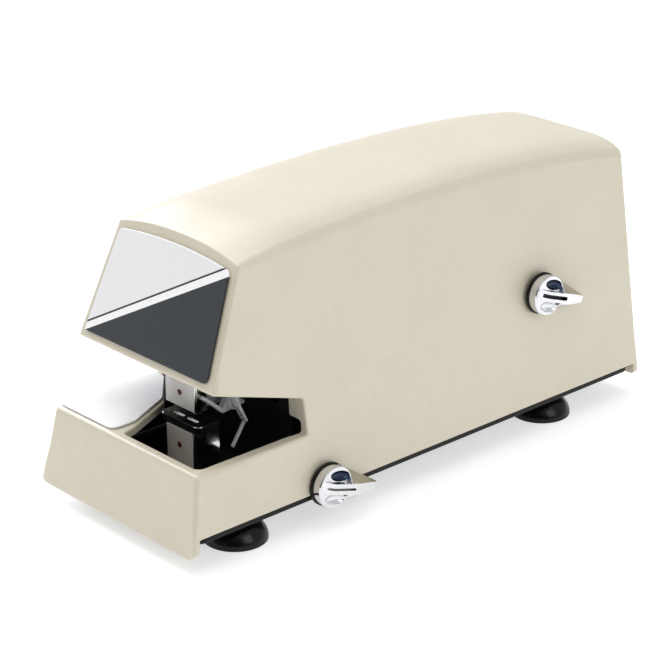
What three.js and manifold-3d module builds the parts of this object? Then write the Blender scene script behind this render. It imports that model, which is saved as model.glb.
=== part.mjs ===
// Desk electric stapler: a one-piece moulded casing over a steel chassis with a solenoid-driven
// hammer, a magazine that pulls out at the front, an anvil in an open well, a paper trigger whose
// depth is set by one knob, and a second knob for the driving force.
// Millimetres, +Z up, table at z = 0. The front faces -Y and both knobs are on the +X side.

import * as THREE from "three";
import * as BufferGeometryUtils from "three/addons/utils/BufferGeometryUtils.js";
import Module from "manifold-3d";

const wasm = await Module();
wasm.setup();

// ---------------------------------------------------------------- driving dimensions

const GAP = 0.3;                 // air between two pieces that touch
const WALL = 3;                  // casing wall

const SIDE_BOTTOM_Z = 14.2;      // lower edge of the casing sides
const SIDE_HALF = 48;            // half width at that edge
const DRAFT = 0.116;             // the sides lean in this much per millimetre of height
const CROWN = 5.2;               // rise of the roof between its two side edges
const CROWN_POWER = 4;           // the higher, the flatter the roof stays towards its sides

const FRONT_SKIRT = { y: -130, z: 6.1 };   // casing outline in the middle plane, front to rear
const BASE_TOP_Z = 39.2;
const BASE_FRONT_Y = -124;
const THROAT_Y = -67.7;
const THROAT_TOP = { y: -68.5, z: 54.5 };
const NOSE_LIP = { y: -113.2, z: 68.2 };
const NOSE_BROW = { y: -94.8, z: 114.5 };
const ROOF_PEAK = { y: 48, z: 126 };       // where the roof's end tangents meet
const REAR_BROW = { y: 125.2, z: 111.7 };
const REAR_SKIRT = { y: 130.1, z: 9 };
const NOSE_LEAN = (NOSE_BROW.y - NOSE_LIP.y) / (NOSE_BROW.z - NOSE_LIP.z);
const REAR_LEAN = (REAR_BROW.y - REAR_SKIRT.y) / (REAR_BROW.z - REAR_SKIRT.z);
const ROOF_STEPS = 10;
const WIDTH_STEPS = 10;

const WELL = [                   // rim of the well in the base, as (x, y)
  [40, -119.5], [40, -68.4], [-37.5, -68.4], [-37.5, -74], [-18.5, -88.5], [-7.5, -113],
  [-5.4, -117.5], [-5.4, -119.5],
];
const THROAT_WINDOW = { half: 34.3, footHalf: 41, footTop: 44.6 };   // wider at its foot

const LABEL = { foot: 38.4, brow: 34, low: 3.4, shoulder: 47, rise: 3.2, corner: 2.6, thick: 0.8 };
const WORK_PLATE_THICK = 0.6;
const BASE_PLATE = { x: 46.2, y0: -125, y1: 126, z0: 10.9, z1: 13.9 };
const FOOT = { x: 33.3, yFront: -95.9, yRear: 81.3, radius: 13.2, height: 10.6 };

const KNOB = {
  radius: 8.8, face: 5.5, top: 8,          // the ridge's top stands this far from the knob's back
  cut: 4.6,                                // the disc ends here, on the pointer's side
  ridgeHalf: 2.5, ridgeEnd: 10.8,
  pointer: 25.5, tipHalf: 1.7, tipBack: 2, tipFront: 3.6,
};
const KNOB_SHAFT_R = 3;
const KNOB_HOLE_R = 5;
const PINION_R = 4.2;
const DEPTH_KNOB = { x: 48.3, y: -60.8, z: 17.3, turn: -17.5 };   // turned from +Y, in degrees
const FORCE_KNOB = { x: 43.8, y: 66.8, z: 63.5, turn: -19.5 };

const CHASSIS = { in: 22, out: 24, top: 98, armBottom: 66.3 };
const PIVOT = { y: 95, z: 85, r: 4 };
const ARM = { half: 5, tipY: -86, tipR: 2.8 };
const SOLENOID = { y: 47, z0: 16, z1: 62, plungerR: 8 };

const HEAD = { y: -95.6, half: 9.6, z0: 45.2, z1: 66.6 };
const MAGAZINE = { y0: -91.9, y1: 20, z0: 46, z1: 60, half: 8.4 };
const STAPLE = { half: 6.4, top: 57.3, leg: 6.6, wire: 0.5, end: -32 };
const BLADE = { y0: -92.9, y1: -92.2, half: 6.3, z0: 60.6, z1: 90 };
const ANVIL = { top: 39.9, half: 12, y0: -96.6, y1: -84.6, thick: 3.4 };
const TRIGGER = { x0: 16.6, x1: 20.2, y: -85.5, z: 60.8 };
const TRIGGER_KNEE = { back: -77.1, front: -78.3, z: 40 };   // above it wide, below it a finger
const LATCH = { x0: 9.9, x1: 12.9, y: -80, z: 47, lugR: 2.6 };
const PIN_R = 1.2;                 // pivots of the latch and the trigger

const CORD_INLET = [-20, 129.25, 34];      // where the mains lead's bush sits in the rear wall
const BUSH_R = 6.6;                        // its neck, in the wall's hole

const DEG = Math.PI / 180;

// ---------------------------------------------------------------- materials

const FINISH = {
  casing: [0xd6ceb9, 0.5, 0.0],
  black: [0x17181a, 0.35, 0.1],
  rubber: [0x101113, 0.3, 0.0],
  chrome: [0xd8dade, 0.12, 1.0],
  steel: [0xaaa69c, 0.35, 1.0],
  darkSteel: [0x3a3b3d, 0.45, 0.9],
  label: [0xe9e9ec, 0.3, 0.0],
  copper: [0xb06a36, 0.4, 0.9],
  board: [0x7a5c35, 0.6, 0.0],
  rivet: [0x5a1f1c, 0.5, 0.3],
};

function material(name) {
  const [color, roughness, metalness] = FINISH[name];
  return new THREE.MeshStandardMaterial({ color, roughness, metalness });
}

// ---------------------------------------------------------------- geometry helpers

const halfWidth = (z) => SIDE_HALF - DRAFT * (z - SIDE_BOTTOM_Z);

function toSolid(geometry) {
  const bare = geometry.clone();
  bare.deleteAttribute("normal");
  bare.deleteAttribute("uv");
  const merged = BufferGeometryUtils.mergeVertices(bare, 1e-4);
  return new wasm.Manifold(new wasm.Mesh({
    numProp: 3,
    vertProperties: new Float32Array(merged.attributes.position.array),
    triVerts: new Uint32Array(merged.index.array),
  }));
}

function toGeometry(solid) {
  const mesh = solid.getMesh();
  const geometry = new THREE.BufferGeometry();
  geometry.setAttribute("position", new THREE.BufferAttribute(mesh.vertProperties, 3));
  geometry.setIndex(new THREE.BufferAttribute(mesh.triVerts, 1));
  geometry.computeVertexNormals();
  return geometry;
}

const unite = (...shapes) => toGeometry(shapes.map(toSolid).reduce((a, b) => a.add(b)));

function cut(shape, ...tools) {
  return toGeometry(tools.map(toSolid).reduce((a, b) => a.subtract(b), toSolid(shape)));
}

function box(x0, x1, y0, y1, z0, z1) {
  const geometry = new THREE.BoxGeometry(x1 - x0, y1 - y0, z1 - z0);
  return geometry.translate((x0 + x1) / 2, (y0 + y1) / 2, (z0 + z1) / 2);
}

function outline(points) {
  return new THREE.Shape(points.map(([u, v]) => new THREE.Vector2(u, v)));
}

function prism(shape, depth) {
  return new THREE.ExtrudeGeometry(shape, { depth, bevelEnabled: false, curveSegments: 6 });
}

// Prisms of an outline drawn in (y, z), (x, z) or (x, y), between two planes across it.
function prismX(shape, x0, x1) {
  const turn = new THREE.Matrix4().makeBasis(
    new THREE.Vector3(0, 1, 0), new THREE.Vector3(0, 0, 1), new THREE.Vector3(1, 0, 0));
  return prism(shape, x1 - x0).applyMatrix4(turn).translate(x0, 0, 0);
}

function prismY(shape, y0, y1) {
  return prism(shape, y1 - y0).rotateX(Math.PI / 2).translate(0, y1, 0);
}

function prismZ(shape, z0, z1) {
  return prism(shape, z1 - z0).translate(0, 0, z0);
}

function cylinder(axis, radius, from, to, [u, v], sides = 20) {
  const geometry = new THREE.CylinderGeometry(radius, radius, to - from, sides);
  const middle = (from + to) / 2;
  if (axis === "x") return geometry.rotateZ(-Math.PI / 2).translate(middle, u, v);
  if (axis === "y") return geometry.translate(u, middle, v);
  return geometry.rotateX(Math.PI / 2).translate(u, v, middle);
}

// A ring or a turned piece about +Z from a closed (radius, z) outline.
function turned(points, sides = 24) {
  const closed = points.concat([points[0]]);
  const profile = closed.map(([r, z]) => new THREE.Vector2(r, z));
  return new THREE.LatheGeometry(profile, sides).rotateX(Math.PI / 2);
}

// ---------------------------------------------------------------- casing and what is fixed to it

// Points of the roof line from the nose brow to the rear brow, lowered by drop.
function roofLine(front, rear, drop) {
  const curve = new THREE.QuadraticBezierCurve(
    new THREE.Vector2(front.y, front.z),
    new THREE.Vector2(ROOF_PEAK.y, ROOF_PEAK.z - drop),
    new THREE.Vector2(rear.y, rear.z));
  return curve.getPoints(ROOF_STEPS).map((p) => [p.x, p.y]);
}

// A side outline swept across the width: the sides lean in, and the roof line rises to a crown.
function sweptBody(points, inset, roofFrom) {
  const geometry = new THREE.ExtrudeGeometry(outline(points), {
    depth: 2, steps: WIDTH_STEPS, bevelEnabled: false,
  });
  const position = geometry.attributes.position;
  for (let i = 0; i < position.count; i += 1) {
    const y = position.getX(i);
    const z = position.getY(i);
    const across = position.getZ(i) - 1;
    const rise = z > roofFrom ? CROWN * (1 - across ** CROWN_POWER) : 0;
    const atFront = y < NOSE_BROW.y + WALL;
    const atRear = y > REAR_BROW.y - WALL - 1;
    const lean = (atFront ? NOSE_LEAN : 0) + (atRear ? REAR_LEAN : 0);
    position.setXYZ(i, across * (halfWidth(z) - inset), y + lean * rise, z + rise);
  }
  return geometry;
}

function casing() {
  const outer = sweptBody([
    [FRONT_SKIRT.y, FRONT_SKIRT.z],
    [FRONT_SKIRT.y + 3.1, FRONT_SKIRT.z],
    [FRONT_SKIRT.y + 4.6, SIDE_BOTTOM_Z],
    [REAR_SKIRT.y - 3.3, SIDE_BOTTOM_Z],
    [REAR_SKIRT.y - 3.1, REAR_SKIRT.z],
    [REAR_SKIRT.y, REAR_SKIRT.z],
    ...roofLine(NOSE_BROW, REAR_BROW, 0).reverse(),
    [NOSE_LIP.y, NOSE_LIP.z],
    [THROAT_TOP.y, THROAT_TOP.z],
    [THROAT_Y, BASE_TOP_Z],
    [BASE_FRONT_Y, BASE_TOP_Z],
  ], 0, NOSE_BROW.z - 4);

  const flangeBack = THROAT_TOP.y + WALL + GAP;
  const innerBrow = { y: NOSE_BROW.y + 2.2, z: NOSE_BROW.z - WALL - 0.1 };
  const innerRear = { y: REAR_BROW.y - WALL, z: REAR_BROW.z - WALL - 0.1 };
  const upperHollow = sweptBody([
    [-117.2, 50],
    [THROAT_TOP.y - 3.5, 50],
    [THROAT_TOP.y - 3.5, 57.5],
    [flangeBack, 57.5],
    [flangeBack, 3],
    [REAR_SKIRT.y - 2.8, 3],
    ...roofLine(innerBrow, innerRear, WALL).reverse(),
  ], WALL, NOSE_BROW.z - 7);

  const baseHollow = sweptBody([
    [FRONT_SKIRT.y + 2.5, 3],
    [flangeBack + 5, 3],
    [flangeBack + 5, BASE_TOP_Z - WALL],
    [BASE_FRONT_Y + 2.5, BASE_TOP_Z - WALL],
  ], WALL, NOSE_BROW.z);

  const wellMouth = prismZ(outline(WELL), BASE_TOP_Z - 9, BASE_TOP_Z + 6);
  const { half, footHalf, footTop } = THROAT_WINDOW;
  const throatWindow = unite(
    box(-half, half, -73, -60, BASE_TOP_Z - 5, THROAT_TOP.z + 6),
    box(-footHalf, footHalf, -73, -60, BASE_TOP_Z - 5, footTop));
  const cordHole = cylinder("y", BUSH_R + 0.4, 120, 135, [CORD_INLET[0], CORD_INLET[2]]);
  const knobHoles = [DEPTH_KNOB, FORCE_KNOB].map(
    ({ x, y, z }) => cylinder("x", KNOB_HOLE_R, x - 8, x + 4, [y, z]));
  return cut(outer, upperHollow, baseHollow, wellMouth, throatWindow, cordHole, ...knobHoles);
}

// The faceplate lies on the sloping nose face, and its upper edge follows the roof's crown. It is
// drawn flat, with its lower edge near y = 0, and then leaned back.
function labelPlate() {
  const { foot, brow, low, shoulder, rise, corner } = LABEL;
  const shape = new THREE.Shape();
  shape.moveTo(-foot, low);
  shape.lineTo(foot - corner, low);
  shape.quadraticCurveTo(foot, low, foot - 0.2, low + corner);
  shape.lineTo(brow, shoulder - corner);
  shape.quadraticCurveTo(brow, shoulder, brow - corner, shoulder + 0.4);
  shape.bezierCurveTo(brow / 2, shoulder + rise + 0.4, -brow / 2, shoulder + rise + 0.4,
    corner - brow, shoulder + 0.4);
  shape.quadraticCurveTo(-brow, shoulder, -brow, shoulder - corner);
  const lean = Math.atan(NOSE_LEAN);
  return prism(shape, LABEL.thick).translate(0, 0, GAP).rotateX(Math.PI / 2 - lean)
    .translate(0, NOSE_LIP.y, NOSE_LIP.z);
}

// The plate covers what the well leaves of the base's top, up to the left edge.
function workPlate() {
  const shape = new THREE.Shape();
  shape.moveTo(-43.6, -121.6);
  shape.lineTo(-13.6, -121.6);
  shape.quadraticCurveTo(-10.6, -121.6, -10.6, -118.6);
  shape.quadraticCurveTo(-10.6, -110, -12.4, -106);
  shape.lineTo(-18.4, -92.6);
  shape.quadraticCurveTo(-20.6, -88, -24.2, -85);
  shape.lineTo(-37.6, -73.4);
  shape.lineTo(-43.6, -73.4);
  return prismZ(shape, BASE_TOP_Z + GAP, BASE_TOP_Z + GAP + WORK_PLATE_THICK);
}

function basePlate() {
  const { x, y0, y1, z0, z1 } = BASE_PLATE;
  const sheet = box(-x, x, y0, y1, z0, z1);
  const holes = footPlaces().map(([fx, fy]) => cylinder("z", 2.3, z0 - 1, z1 + 1, [fx, fy], 12));
  const shaftGap = box(24, x + 4, DEPTH_KNOB.y - 5, DEPTH_KNOB.y + 5, z0 - 1, z1 + 1);
  return cut(sheet, ...holes, shaftGap);
}

function footPlaces() {
  const places = [];
  for (const y of [FOOT.yFront, FOOT.yRear]) {
    for (const side of [-1, 1]) places.push([side * FOOT.x, y]);
  }
  return places;
}

// A suction-cup foot: a short stem that flares into a dished skirt with a flat rim.
function foot() {
  return turned([
    [2.3, FOOT.height], [2.3, 6], [5, 6], [5, 3.4], [9.5, 2.2], [11.3, 0],
    [FOOT.radius, 0], [FOOT.radius, 1.2], [11.6, 2.6], [8.4, 4.8], [6.6, 7.6], [7, FOOT.height],
  ], 28);
}

function footScrew() {
  return turned([[0, 3.6], [4, 3.6], [4, 5.6], [1.9, 5.6], [1.9, 17], [0, 17]], 12);
}

// ---------------------------------------------------------------- chassis

function chassisSide(x0, x1, window) {
  const plate = prismX(outline([
    [-58, SIDE_BOTTOM_Z],
    [104, SIDE_BOTTOM_Z],
    [104, 94],
    [40, CHASSIS.top],
    [-92, CHASSIS.top],
    [-92, CHASSIS.armBottom],
    [-58, CHASSIS.armBottom],
  ]), x0, x1);
  const bore = cylinder("x", PIVOT.r + GAP, x0 - 1, x1 + 1, [PIVOT.y, PIVOT.z]);
  const slot = box(x0 - 1, x1 + 1, ...window);
  return cut(plate, bore, slot);
}

function armShaft() {
  return cylinder("x", PIVOT.r, -CHASSIS.out - 3, CHASSIS.out + 3, [PIVOT.y, PIVOT.z]);
}

// A block beside the hammer that keeps it upright.
function driverGuide(side) {
  const near = side * (8 + GAP + 0.1);
  const far = side * (CHASSIS.in - GAP);
  return box(Math.min(near, far), Math.max(near, far), -92, -82, 68, CHASSIS.top - 2);
}

// A folded strip that hangs from the chassis and carries the magazine's flange.
function magazineRail(side, hanger) {
  const fold = [
    [8.8, 55.4], [13.4, 55.4], [13.4, 64.4], [CHASSIS.in - GAP, 64.4],
    [CHASSIS.in - GAP, 66], [11.6, 66], [11.6, 57.2], [8.8, 57.2],
  ].map(([x, z]) => [side * x, z]);
  const strip = prismY(outline(side > 0 ? fold : fold.reverse()), -88, 15);
  if (!hanger) return strip;
  const { y, z, lugR } = LATCH;
  const lug = box(13.2, 15.6, y - lugR, y + lugR, z, 58);
  const lugEnd = cylinder("x", lugR, 13.2, 15.6, [y, z], 16);
  const hole = cylinder("x", PIN_R + GAP, 11, 17, [y, z], 12);
  return cut(unite(strip, lug, lugEnd), hole);
}

function solenoidYoke() {
  const { y, z0, z1, plungerR } = SOLENOID;
  const block = box(-20, 20, y - 25, y + 25, z0, z1);
  const window = box(-25, 25, y - 18.5, y + 18.5, z0 + 8, z1 - 8);
  const bore = cylinder("z", plungerR + 0.5, z0 + 4, z1 + 1, [0, y], 24);
  return cut(block, window, bore);
}

function coilBobbin() {
  const low = SOLENOID.z0 + 8 + GAP;
  const high = SOLENOID.z1 - 8 - GAP;
  return turned([
    [8.5, low], [18, low], [18, low + 1.6], [10.2, low + 1.6],
    [10.2, high - 1.6], [18, high - 1.6], [18, high], [8.5, high],
  ]).translate(0, SOLENOID.y, 0);
}

function coilWinding() {
  const low = SOLENOID.z0 + 10.2;
  const high = SOLENOID.z1 - 10.2;
  return turned([[10.5, low], [17.4, low], [17.4, high], [10.5, high]])
    .translate(0, SOLENOID.y, 0);
}

// A compression spring of round wire about +Z, its first turn at the bottom.
function coilSpring(radius, wire, turns, length) {
  const points = [];
  const perTurn = 10;
  for (let i = 0; i <= turns * perTurn; i += 1) {
    const angle = (i / perTurn) * 2 * Math.PI;
    points.push(new THREE.Vector3(
      radius * Math.cos(angle), radius * Math.sin(angle), (length * i) / (turns * perTurn)));
  }
  const section = new THREE.Shape();
  section.absarc(0, 0, wire / 2, 0, 2 * Math.PI);
  return new THREE.ExtrudeGeometry(section, {
    steps: turns * perTurn, curveSegments: 3, bevelEnabled: false,
    extrudePath: new THREE.CatmullRomCurve3(points),
  });
}

// ---------------------------------------------------------------- hammer drive

function driveArm() {
  const bar = prismX(outline([
    [ARM.tipY, PIVOT.z - ARM.tipR], [ARM.tipY + 12, PIVOT.z - ARM.tipR], [-62, 78],
    [PIVOT.y + 4, 78], [PIVOT.y + 8, 81], [PIVOT.y + 8, 89], [PIVOT.y + 4, 92],
    [0, 92], [ARM.tipY + 12, PIVOT.z + ARM.tipR], [ARM.tipY, PIVOT.z + ARM.tipR],
  ]), -ARM.half, ARM.half);
  const nose = cylinder("x", ARM.tipR, -ARM.half, ARM.half, [ARM.tipY, PIVOT.z], 16);
  const bore = cylinder("x", PIVOT.r + GAP, -6, 6, [PIVOT.y, PIVOT.z]);
  const slot = box(-6, 6, SOLENOID.y - 3.6, SOLENOID.y + 3.6, PIVOT.z - 2.9, PIVOT.z + 2.9);
  return cut(unite(bar, nose), bore, slot);
}

// The plunger ends in two ears that straddle the arm.
function plunger() {
  const { y, plungerR } = SOLENOID;
  const core = cylinder("z", plungerR, 34, 74, [0, y], 24);
  const collar = cylinder("z", 12.5, 71.5, 74, [0, y], 24);
  const ears = [-1, 1].map((side) => {
    const near = side * (ARM.half + GAP + 0.1);
    const far = side * (ARM.half + 2.8);
    return box(Math.min(near, far), Math.max(near, far), y - 5, y + 5, 73, 90);
  });
  const hole = cylinder("x", 2.2 + GAP, -12, 12, [y, PIVOT.z], 12);
  return cut(unite(core, collar, ...ears), hole);
}

function plungerPin() {
  const end = ARM.half + 4;
  return cylinder("x", 2.2, -end, end, [SOLENOID.y, PIVOT.z], 12);
}

function driverHolder() {
  const block = box(-8, 8, -91.9, -81.5, 76, 95);
  const pocket = box(-ARM.half - 0.5, ARM.half + 0.5, -89.9, -80, PIVOT.z - 3.3, PIVOT.z + 3.3);
  return cut(block, pocket);
}

function driverBlade() {
  return box(-BLADE.half, BLADE.half, BLADE.y0, BLADE.y1, BLADE.z0, BLADE.z1);
}

// ---------------------------------------------------------------- magazine

// The channel has outward flanges and a hollow core rail that the staples straddle.
function magazineChannel() {
  const { y0, y1, z0, z1, half } = MAGAZINE;
  const right = [
    [half, z0], [half, z1 - 1.2], [half + 2.4, z1 - 1.2], [half + 2.4, z1], [half - 1, z1],
    [half - 1, z0 + 1.2], [5.4, z0 + 1.2], [5.4, 56.4], [1.4, 56.4], [1.4, 55.2], [4.2, 55.2],
    [4.2, z0 + 1.2],
  ];
  const left = right.map(([x, z]) => [-x, z]).reverse();
  const channel = prismY(outline([...right, ...left]), y0, y1);
  const stop = box(-half + 0.5, half - 0.5, y1 - 1.4, y1, z0 + 0.5, z1);
  const wingRoom = [-1, 1].map((side) => {
    const near = side * half;
    const far = side * (half + 3);
    return box(Math.min(near, far), Math.max(near, far), y0 - 1, y0 + 2.8, z0, z1 + 1);
  });
  return cut(unite(channel, stop), ...wingRoom);
}

// A plain front plate whose sides fold back along the channel.
function facePlate() {
  const { y, half, z0, z1 } = HEAD;
  const front = box(-half, half, y, y + 2.2, z0, z1);
  const wings = [-1, 1].map((side) => {
    const near = side * (half - 0.9);
    const far = side * half;
    return box(Math.min(near, far), Math.max(near, far), y + 1, y + 6, z0, z1);
  });
  const seat = cylinder("y", 1 + GAP, y - 1, y + 1.5, [0, 51.5], 12);
  return cut(unite(front, ...wings), seat);
}

function rivet(y, z) {
  return cylinder("y", 1, y - 0.1, y + 1.2, [0, z], 12);
}

function stapleStrip() {
  const { half, top, leg, wire, end } = STAPLE;
  return prismY(outline([
    [-half, top - leg], [-half + wire, top - leg], [-half + wire, top - wire],
    [half - wire, top - wire], [half - wire, top - leg], [half, top - leg], [half, top],
    [-half, top],
  ]), MAGAZINE.y0 + GAP, end);
}

function pusherRod() {
  return cylinder("y", 1.2, -88, MAGAZINE.y1 - 1.4 - GAP, [0, 51.2], 10);
}

// The pusher rides over the core rail; a tongue through the rail's slot carries its eye.
function staplePusher() {
  const y0 = STAPLE.end + GAP;
  const y1 = y0 + 10;
  const saddle = cut(box(-7, 7, y0, y1, 50.5, 59), box(-5.8, 5.8, y0 - 1, y1 + 1, 49, 56.8));
  const tongue = box(-1, 1, y0, y1, 52, 58);
  const eye = box(-3.8, 3.8, y0, y1, 48, 54.6);
  const hole = cylinder("y", 1.2 + GAP, y0 - 1, y1 + 1, [0, 51.2], 12);
  return cut(unite(saddle, tongue, eye), hole);
}

function pusherSpring() {
  const start = STAPLE.end + GAP + 10 + 1;
  const length = MAGAZINE.y1 - 1.4 - 1 - start;
  return coilSpring(2.4, 0.8, 10, length).rotateX(-Math.PI / 2).translate(0, start, 51.2);
}

function magazineLatch() {
  const strip = prismX(outline([
    [-93.4, 51.4], [-84.2, 43], [-72.8, 44.2], [-72.8, 45.6], [-77.6, 48.2], [-80, 49.6],
    [-82.4, 48], [-84, 45], [-92.6, 52.4],
  ]), LATCH.x0, LATCH.x1);
  return cut(strip, cylinder("x", PIN_R + GAP, 9, 14, [LATCH.y, LATCH.z], 12));
}

function latchPin() {
  return cylinder("x", PIN_R, LATCH.x0, 15.5, [LATCH.y, LATCH.z], 12);
}

// ---------------------------------------------------------------- anvil

function anvilPost() {
  const { top, thick } = ANVIL;
  const upper = top - thick - GAP;
  const body = box(-9, 9, -96.2, -83, SIDE_BOTTOM_Z, upper);
  const hollow = box(-7, 7, -94, -82, SIDE_BOTTOM_Z + 2, upper - 2);
  const seat = cylinder("y", 1 + GAP, -97, -94.7, [0, 28.8], 12);
  const screwHole = cylinder("z", 1.6 + GAP, upper - 3, upper + 1, [0, -86.5], 12);
  return cut(body, hollow, seat, screwHole);
}

// The anvil has two shallow clinching pockets, one under each staple leg.
function anvilPlate() {
  const { top, half, y0, y1, thick } = ANVIL;
  const shape = new THREE.Shape();
  shape.moveTo(-half + 3, y0);
  shape.lineTo(half - 3, y0);
  shape.quadraticCurveTo(half, y0, half, y0 + 3);
  shape.lineTo(half, y1);
  shape.lineTo(-half, y1);
  shape.lineTo(-half, y0 + 3);
  shape.quadraticCurveTo(-half, y0, -half + 3, y0);
  const pockets = [-1, 1].map((side) => {
    const near = side * 1.2;
    const far = side * 7.4;
    return box(Math.min(near, far), Math.max(near, far), -93.4, -91.8, top - 0.7, top + 1);
  });
  const hole = cylinder("z", 1.6 + GAP, top - thick - 1, top + 1, [0, -86.5], 12);
  return cut(prismZ(shape, top - thick, top), ...pockets, hole);
}

function anvilScrew() {
  return cylinder("z", 1.6, ANVIL.top - ANVIL.thick - 2, ANVIL.top, [0, -86.5], 12);
}

// ---------------------------------------------------------------- paper depth control

// The folded strip hangs from its pivot and narrows below its knee to the finger that the paper's
// edge pushes.
function paperTrigger() {
  const { x0, x1, y, z } = TRIGGER;
  const knee = TRIGGER_KNEE;
  const strip = prismX(outline([
    [y + 0.6, z - 1.5], [-81.2, 48.4], [knee.back, knee.z], [knee.front, knee.z], [-82.3, 48],
    [y - 1.4, z - 1.5],
  ]), x0, x1);
  const finger = prismX(outline([
    [knee.back - 0.3, knee.z + 0.6], [knee.back, knee.z], [-83.9, 30], [-84.7, 30.6],
    [knee.front, knee.z], [knee.front - 0.3, knee.z + 0.6],
  ]), x0 + 1.1, x1 - 1.1);
  const boss = cylinder("x", 2.8, x0, x1, [y, z], 14);
  const hole = cylinder("x", PIN_R + GAP, x0 - 1, x1 + 1, [y, z], 12);
  return cut(unite(strip, finger, boss), hole);
}

function triggerPin() {
  return cylinder("x", PIN_R, TRIGGER.x0 - 2.4, TRIGGER.x1, [TRIGGER.y, TRIGGER.z], 12);
}

// A plate beside the magazine, an arm out through the chassis window, and a toothless rack.
function depthCarriage() {
  const plate = box(14, 15.8, TRIGGER.y - 4, -42, 58.6, 63.6);
  const arm = box(14, 29, -50, -42, 58.6, 63.6);
  const rackZ = DEPTH_KNOB.z + PINION_R + GAP;
  const drop = box(26.5, 29, -50, -42, rackZ, 60);
  const rack = box(26.5, 32, DEPTH_KNOB.y - 1.6, -42, rackZ, rackZ + 3.5);
  const hole = cylinder("x", PIN_R + GAP, 13, 17, [TRIGGER.y, TRIGGER.z], 12);
  return cut(unite(plate, arm, drop, rack), hole);
}

function microSwitch() {
  const body = box(16.1, 21.4, -78, -60, 51, 61.4);
  const button = box(17.4, 20.1, -79.2, -77, 52.6, 55.4);
  return unite(body, button);
}

function depthBearing() {
  const block = box(35, 39, -68.4, DEPTH_KNOB.y + 10, SIDE_BOTTOM_Z, DEPTH_KNOB.z + 6);
  return cut(block, cylinder("x", KNOB_SHAFT_R + GAP, 34, 40, [DEPTH_KNOB.y, DEPTH_KNOB.z], 16));
}

function throatShield() {
  const sheet = box(-30.5, 30.5, -63.4, -61.8, SIDE_BOTTOM_Z, 57.2);
  const rackGap = box(25.6, 41, -66, -60, 12, 26);
  const magazineGap = box(-22.5, 22.5, -66, -60, 44, 60);
  return cut(sheet, rackGap, magazineGap);
}

// ---------------------------------------------------------------- knobs

// A disc with a raised ridge across it, drawn out on one side into a tapering pointer. Its axis
// is +X, and the pointer is drawn along +Y and then turned by some degrees.
function knob(turn) {
  const { radius, face, top, cut: edge, ridgeHalf, ridgeEnd } = KNOB;
  const { pointer, tipHalf, tipBack, tipFront } = KNOB;
  const disc = new THREE.CylinderGeometry(radius - 0.5, radius, face, 28)
    .rotateZ(-Math.PI / 2).translate(face / 2, 0, 0);
  const backPart = cut(disc, box(-1, face + 1, edge, radius + 1, -radius, radius));
  const ridge = box(face - 1, top, -radius + 1, ridgeEnd - 2, -ridgeHalf, ridgeHalf);
  const corners = [];
  for (const side of [-1, 1]) {
    corners.push(
      [0, edge - 2, side * (radius - 0.6)],
      [top, edge - 2, side * ridgeHalf],
      [top, ridgeEnd, side * ridgeHalf],
      [tipBack, pointer, side * tipHalf],
      [tipFront, pointer - 0.5, side * tipHalf]);
  }
  const horn = toGeometry(wasm.Manifold.hull(corners));
  return unite(backPart, ridge, horn).rotateX(turn * DEG);
}

function knobShaft(length) {
  return new THREE.CylinderGeometry(KNOB_SHAFT_R, KNOB_SHAFT_R, length, 16)
    .rotateZ(-Math.PI / 2).translate(-GAP - length / 2, 0, 0);
}

function depthShaft() {
  const roller = new THREE.CylinderGeometry(PINION_R, PINION_R, 5.5, 20)
    .rotateZ(-Math.PI / 2).translate(29.2 - DEPTH_KNOB.x, 0, 0);
  return unite(knobShaft(DEPTH_KNOB.x - 27), roller);
}

// ---------------------------------------------------------------- electrical parts

function controlBoard() {
  return box(-34, 34, 106, 107.6, SIDE_BOTTOM_Z, 84);
}

function forceControl() {
  return cylinder("x", 13, CHASSIS.out + GAP, 34, [FORCE_KNOB.y, FORCE_KNOB.z], 20);
}

function capacitor() {
  return cylinder("x", 7, -24, 2, [115, 60], 18);
}

function heatSink() {
  const spine = box(8, 28, 108, 110, 40, 72);
  const fins = [8, 14, 20, 26].map((x) => box(x, x + 2, 109, 120, 40, 72));
  return unite(spine, ...fins);
}

function terminalBlock() {
  return box(-34, -6, 108, 122, SIDE_BOTTOM_Z, 26);
}

function cordGrommet() {
  return turned([
    [3.6, -1.2], [9.4, -1.2], [9.4, 0], [BUSH_R, 0], [BUSH_R, 3.7], [8.6, 3.7], [8.6, 5.4],
    [3.6, 5.4],
  ]).rotateX(Math.PI / 2 - REAR_LEAN);
}

// ---------------------------------------------------------------- assembly

const stapler = new THREE.Group();

function place(name, finish, geometry, position = [0, 0, 0]) {
  const mesh = new THREE.Mesh(geometry, material(finish));
  mesh.name = name;
  mesh.position.set(...position);
  stapler.add(mesh);
}

place("casing", "casing", casing());
place("label_plate", "label", labelPlate());
place("work_plate", "label", workPlate());
place("base_plate", "black", basePlate());
footPlaces().forEach(([x, y], i) => {
  const where = `${i < 2 ? "front" : "rear"}_${i % 2 ? "right" : "left"}`;
  place(`foot_${where}`, "rubber", foot(), [x, y, 0]);
  place(`foot_screw_${where}`, "steel", footScrew(), [x, y, 0]);
});

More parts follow.
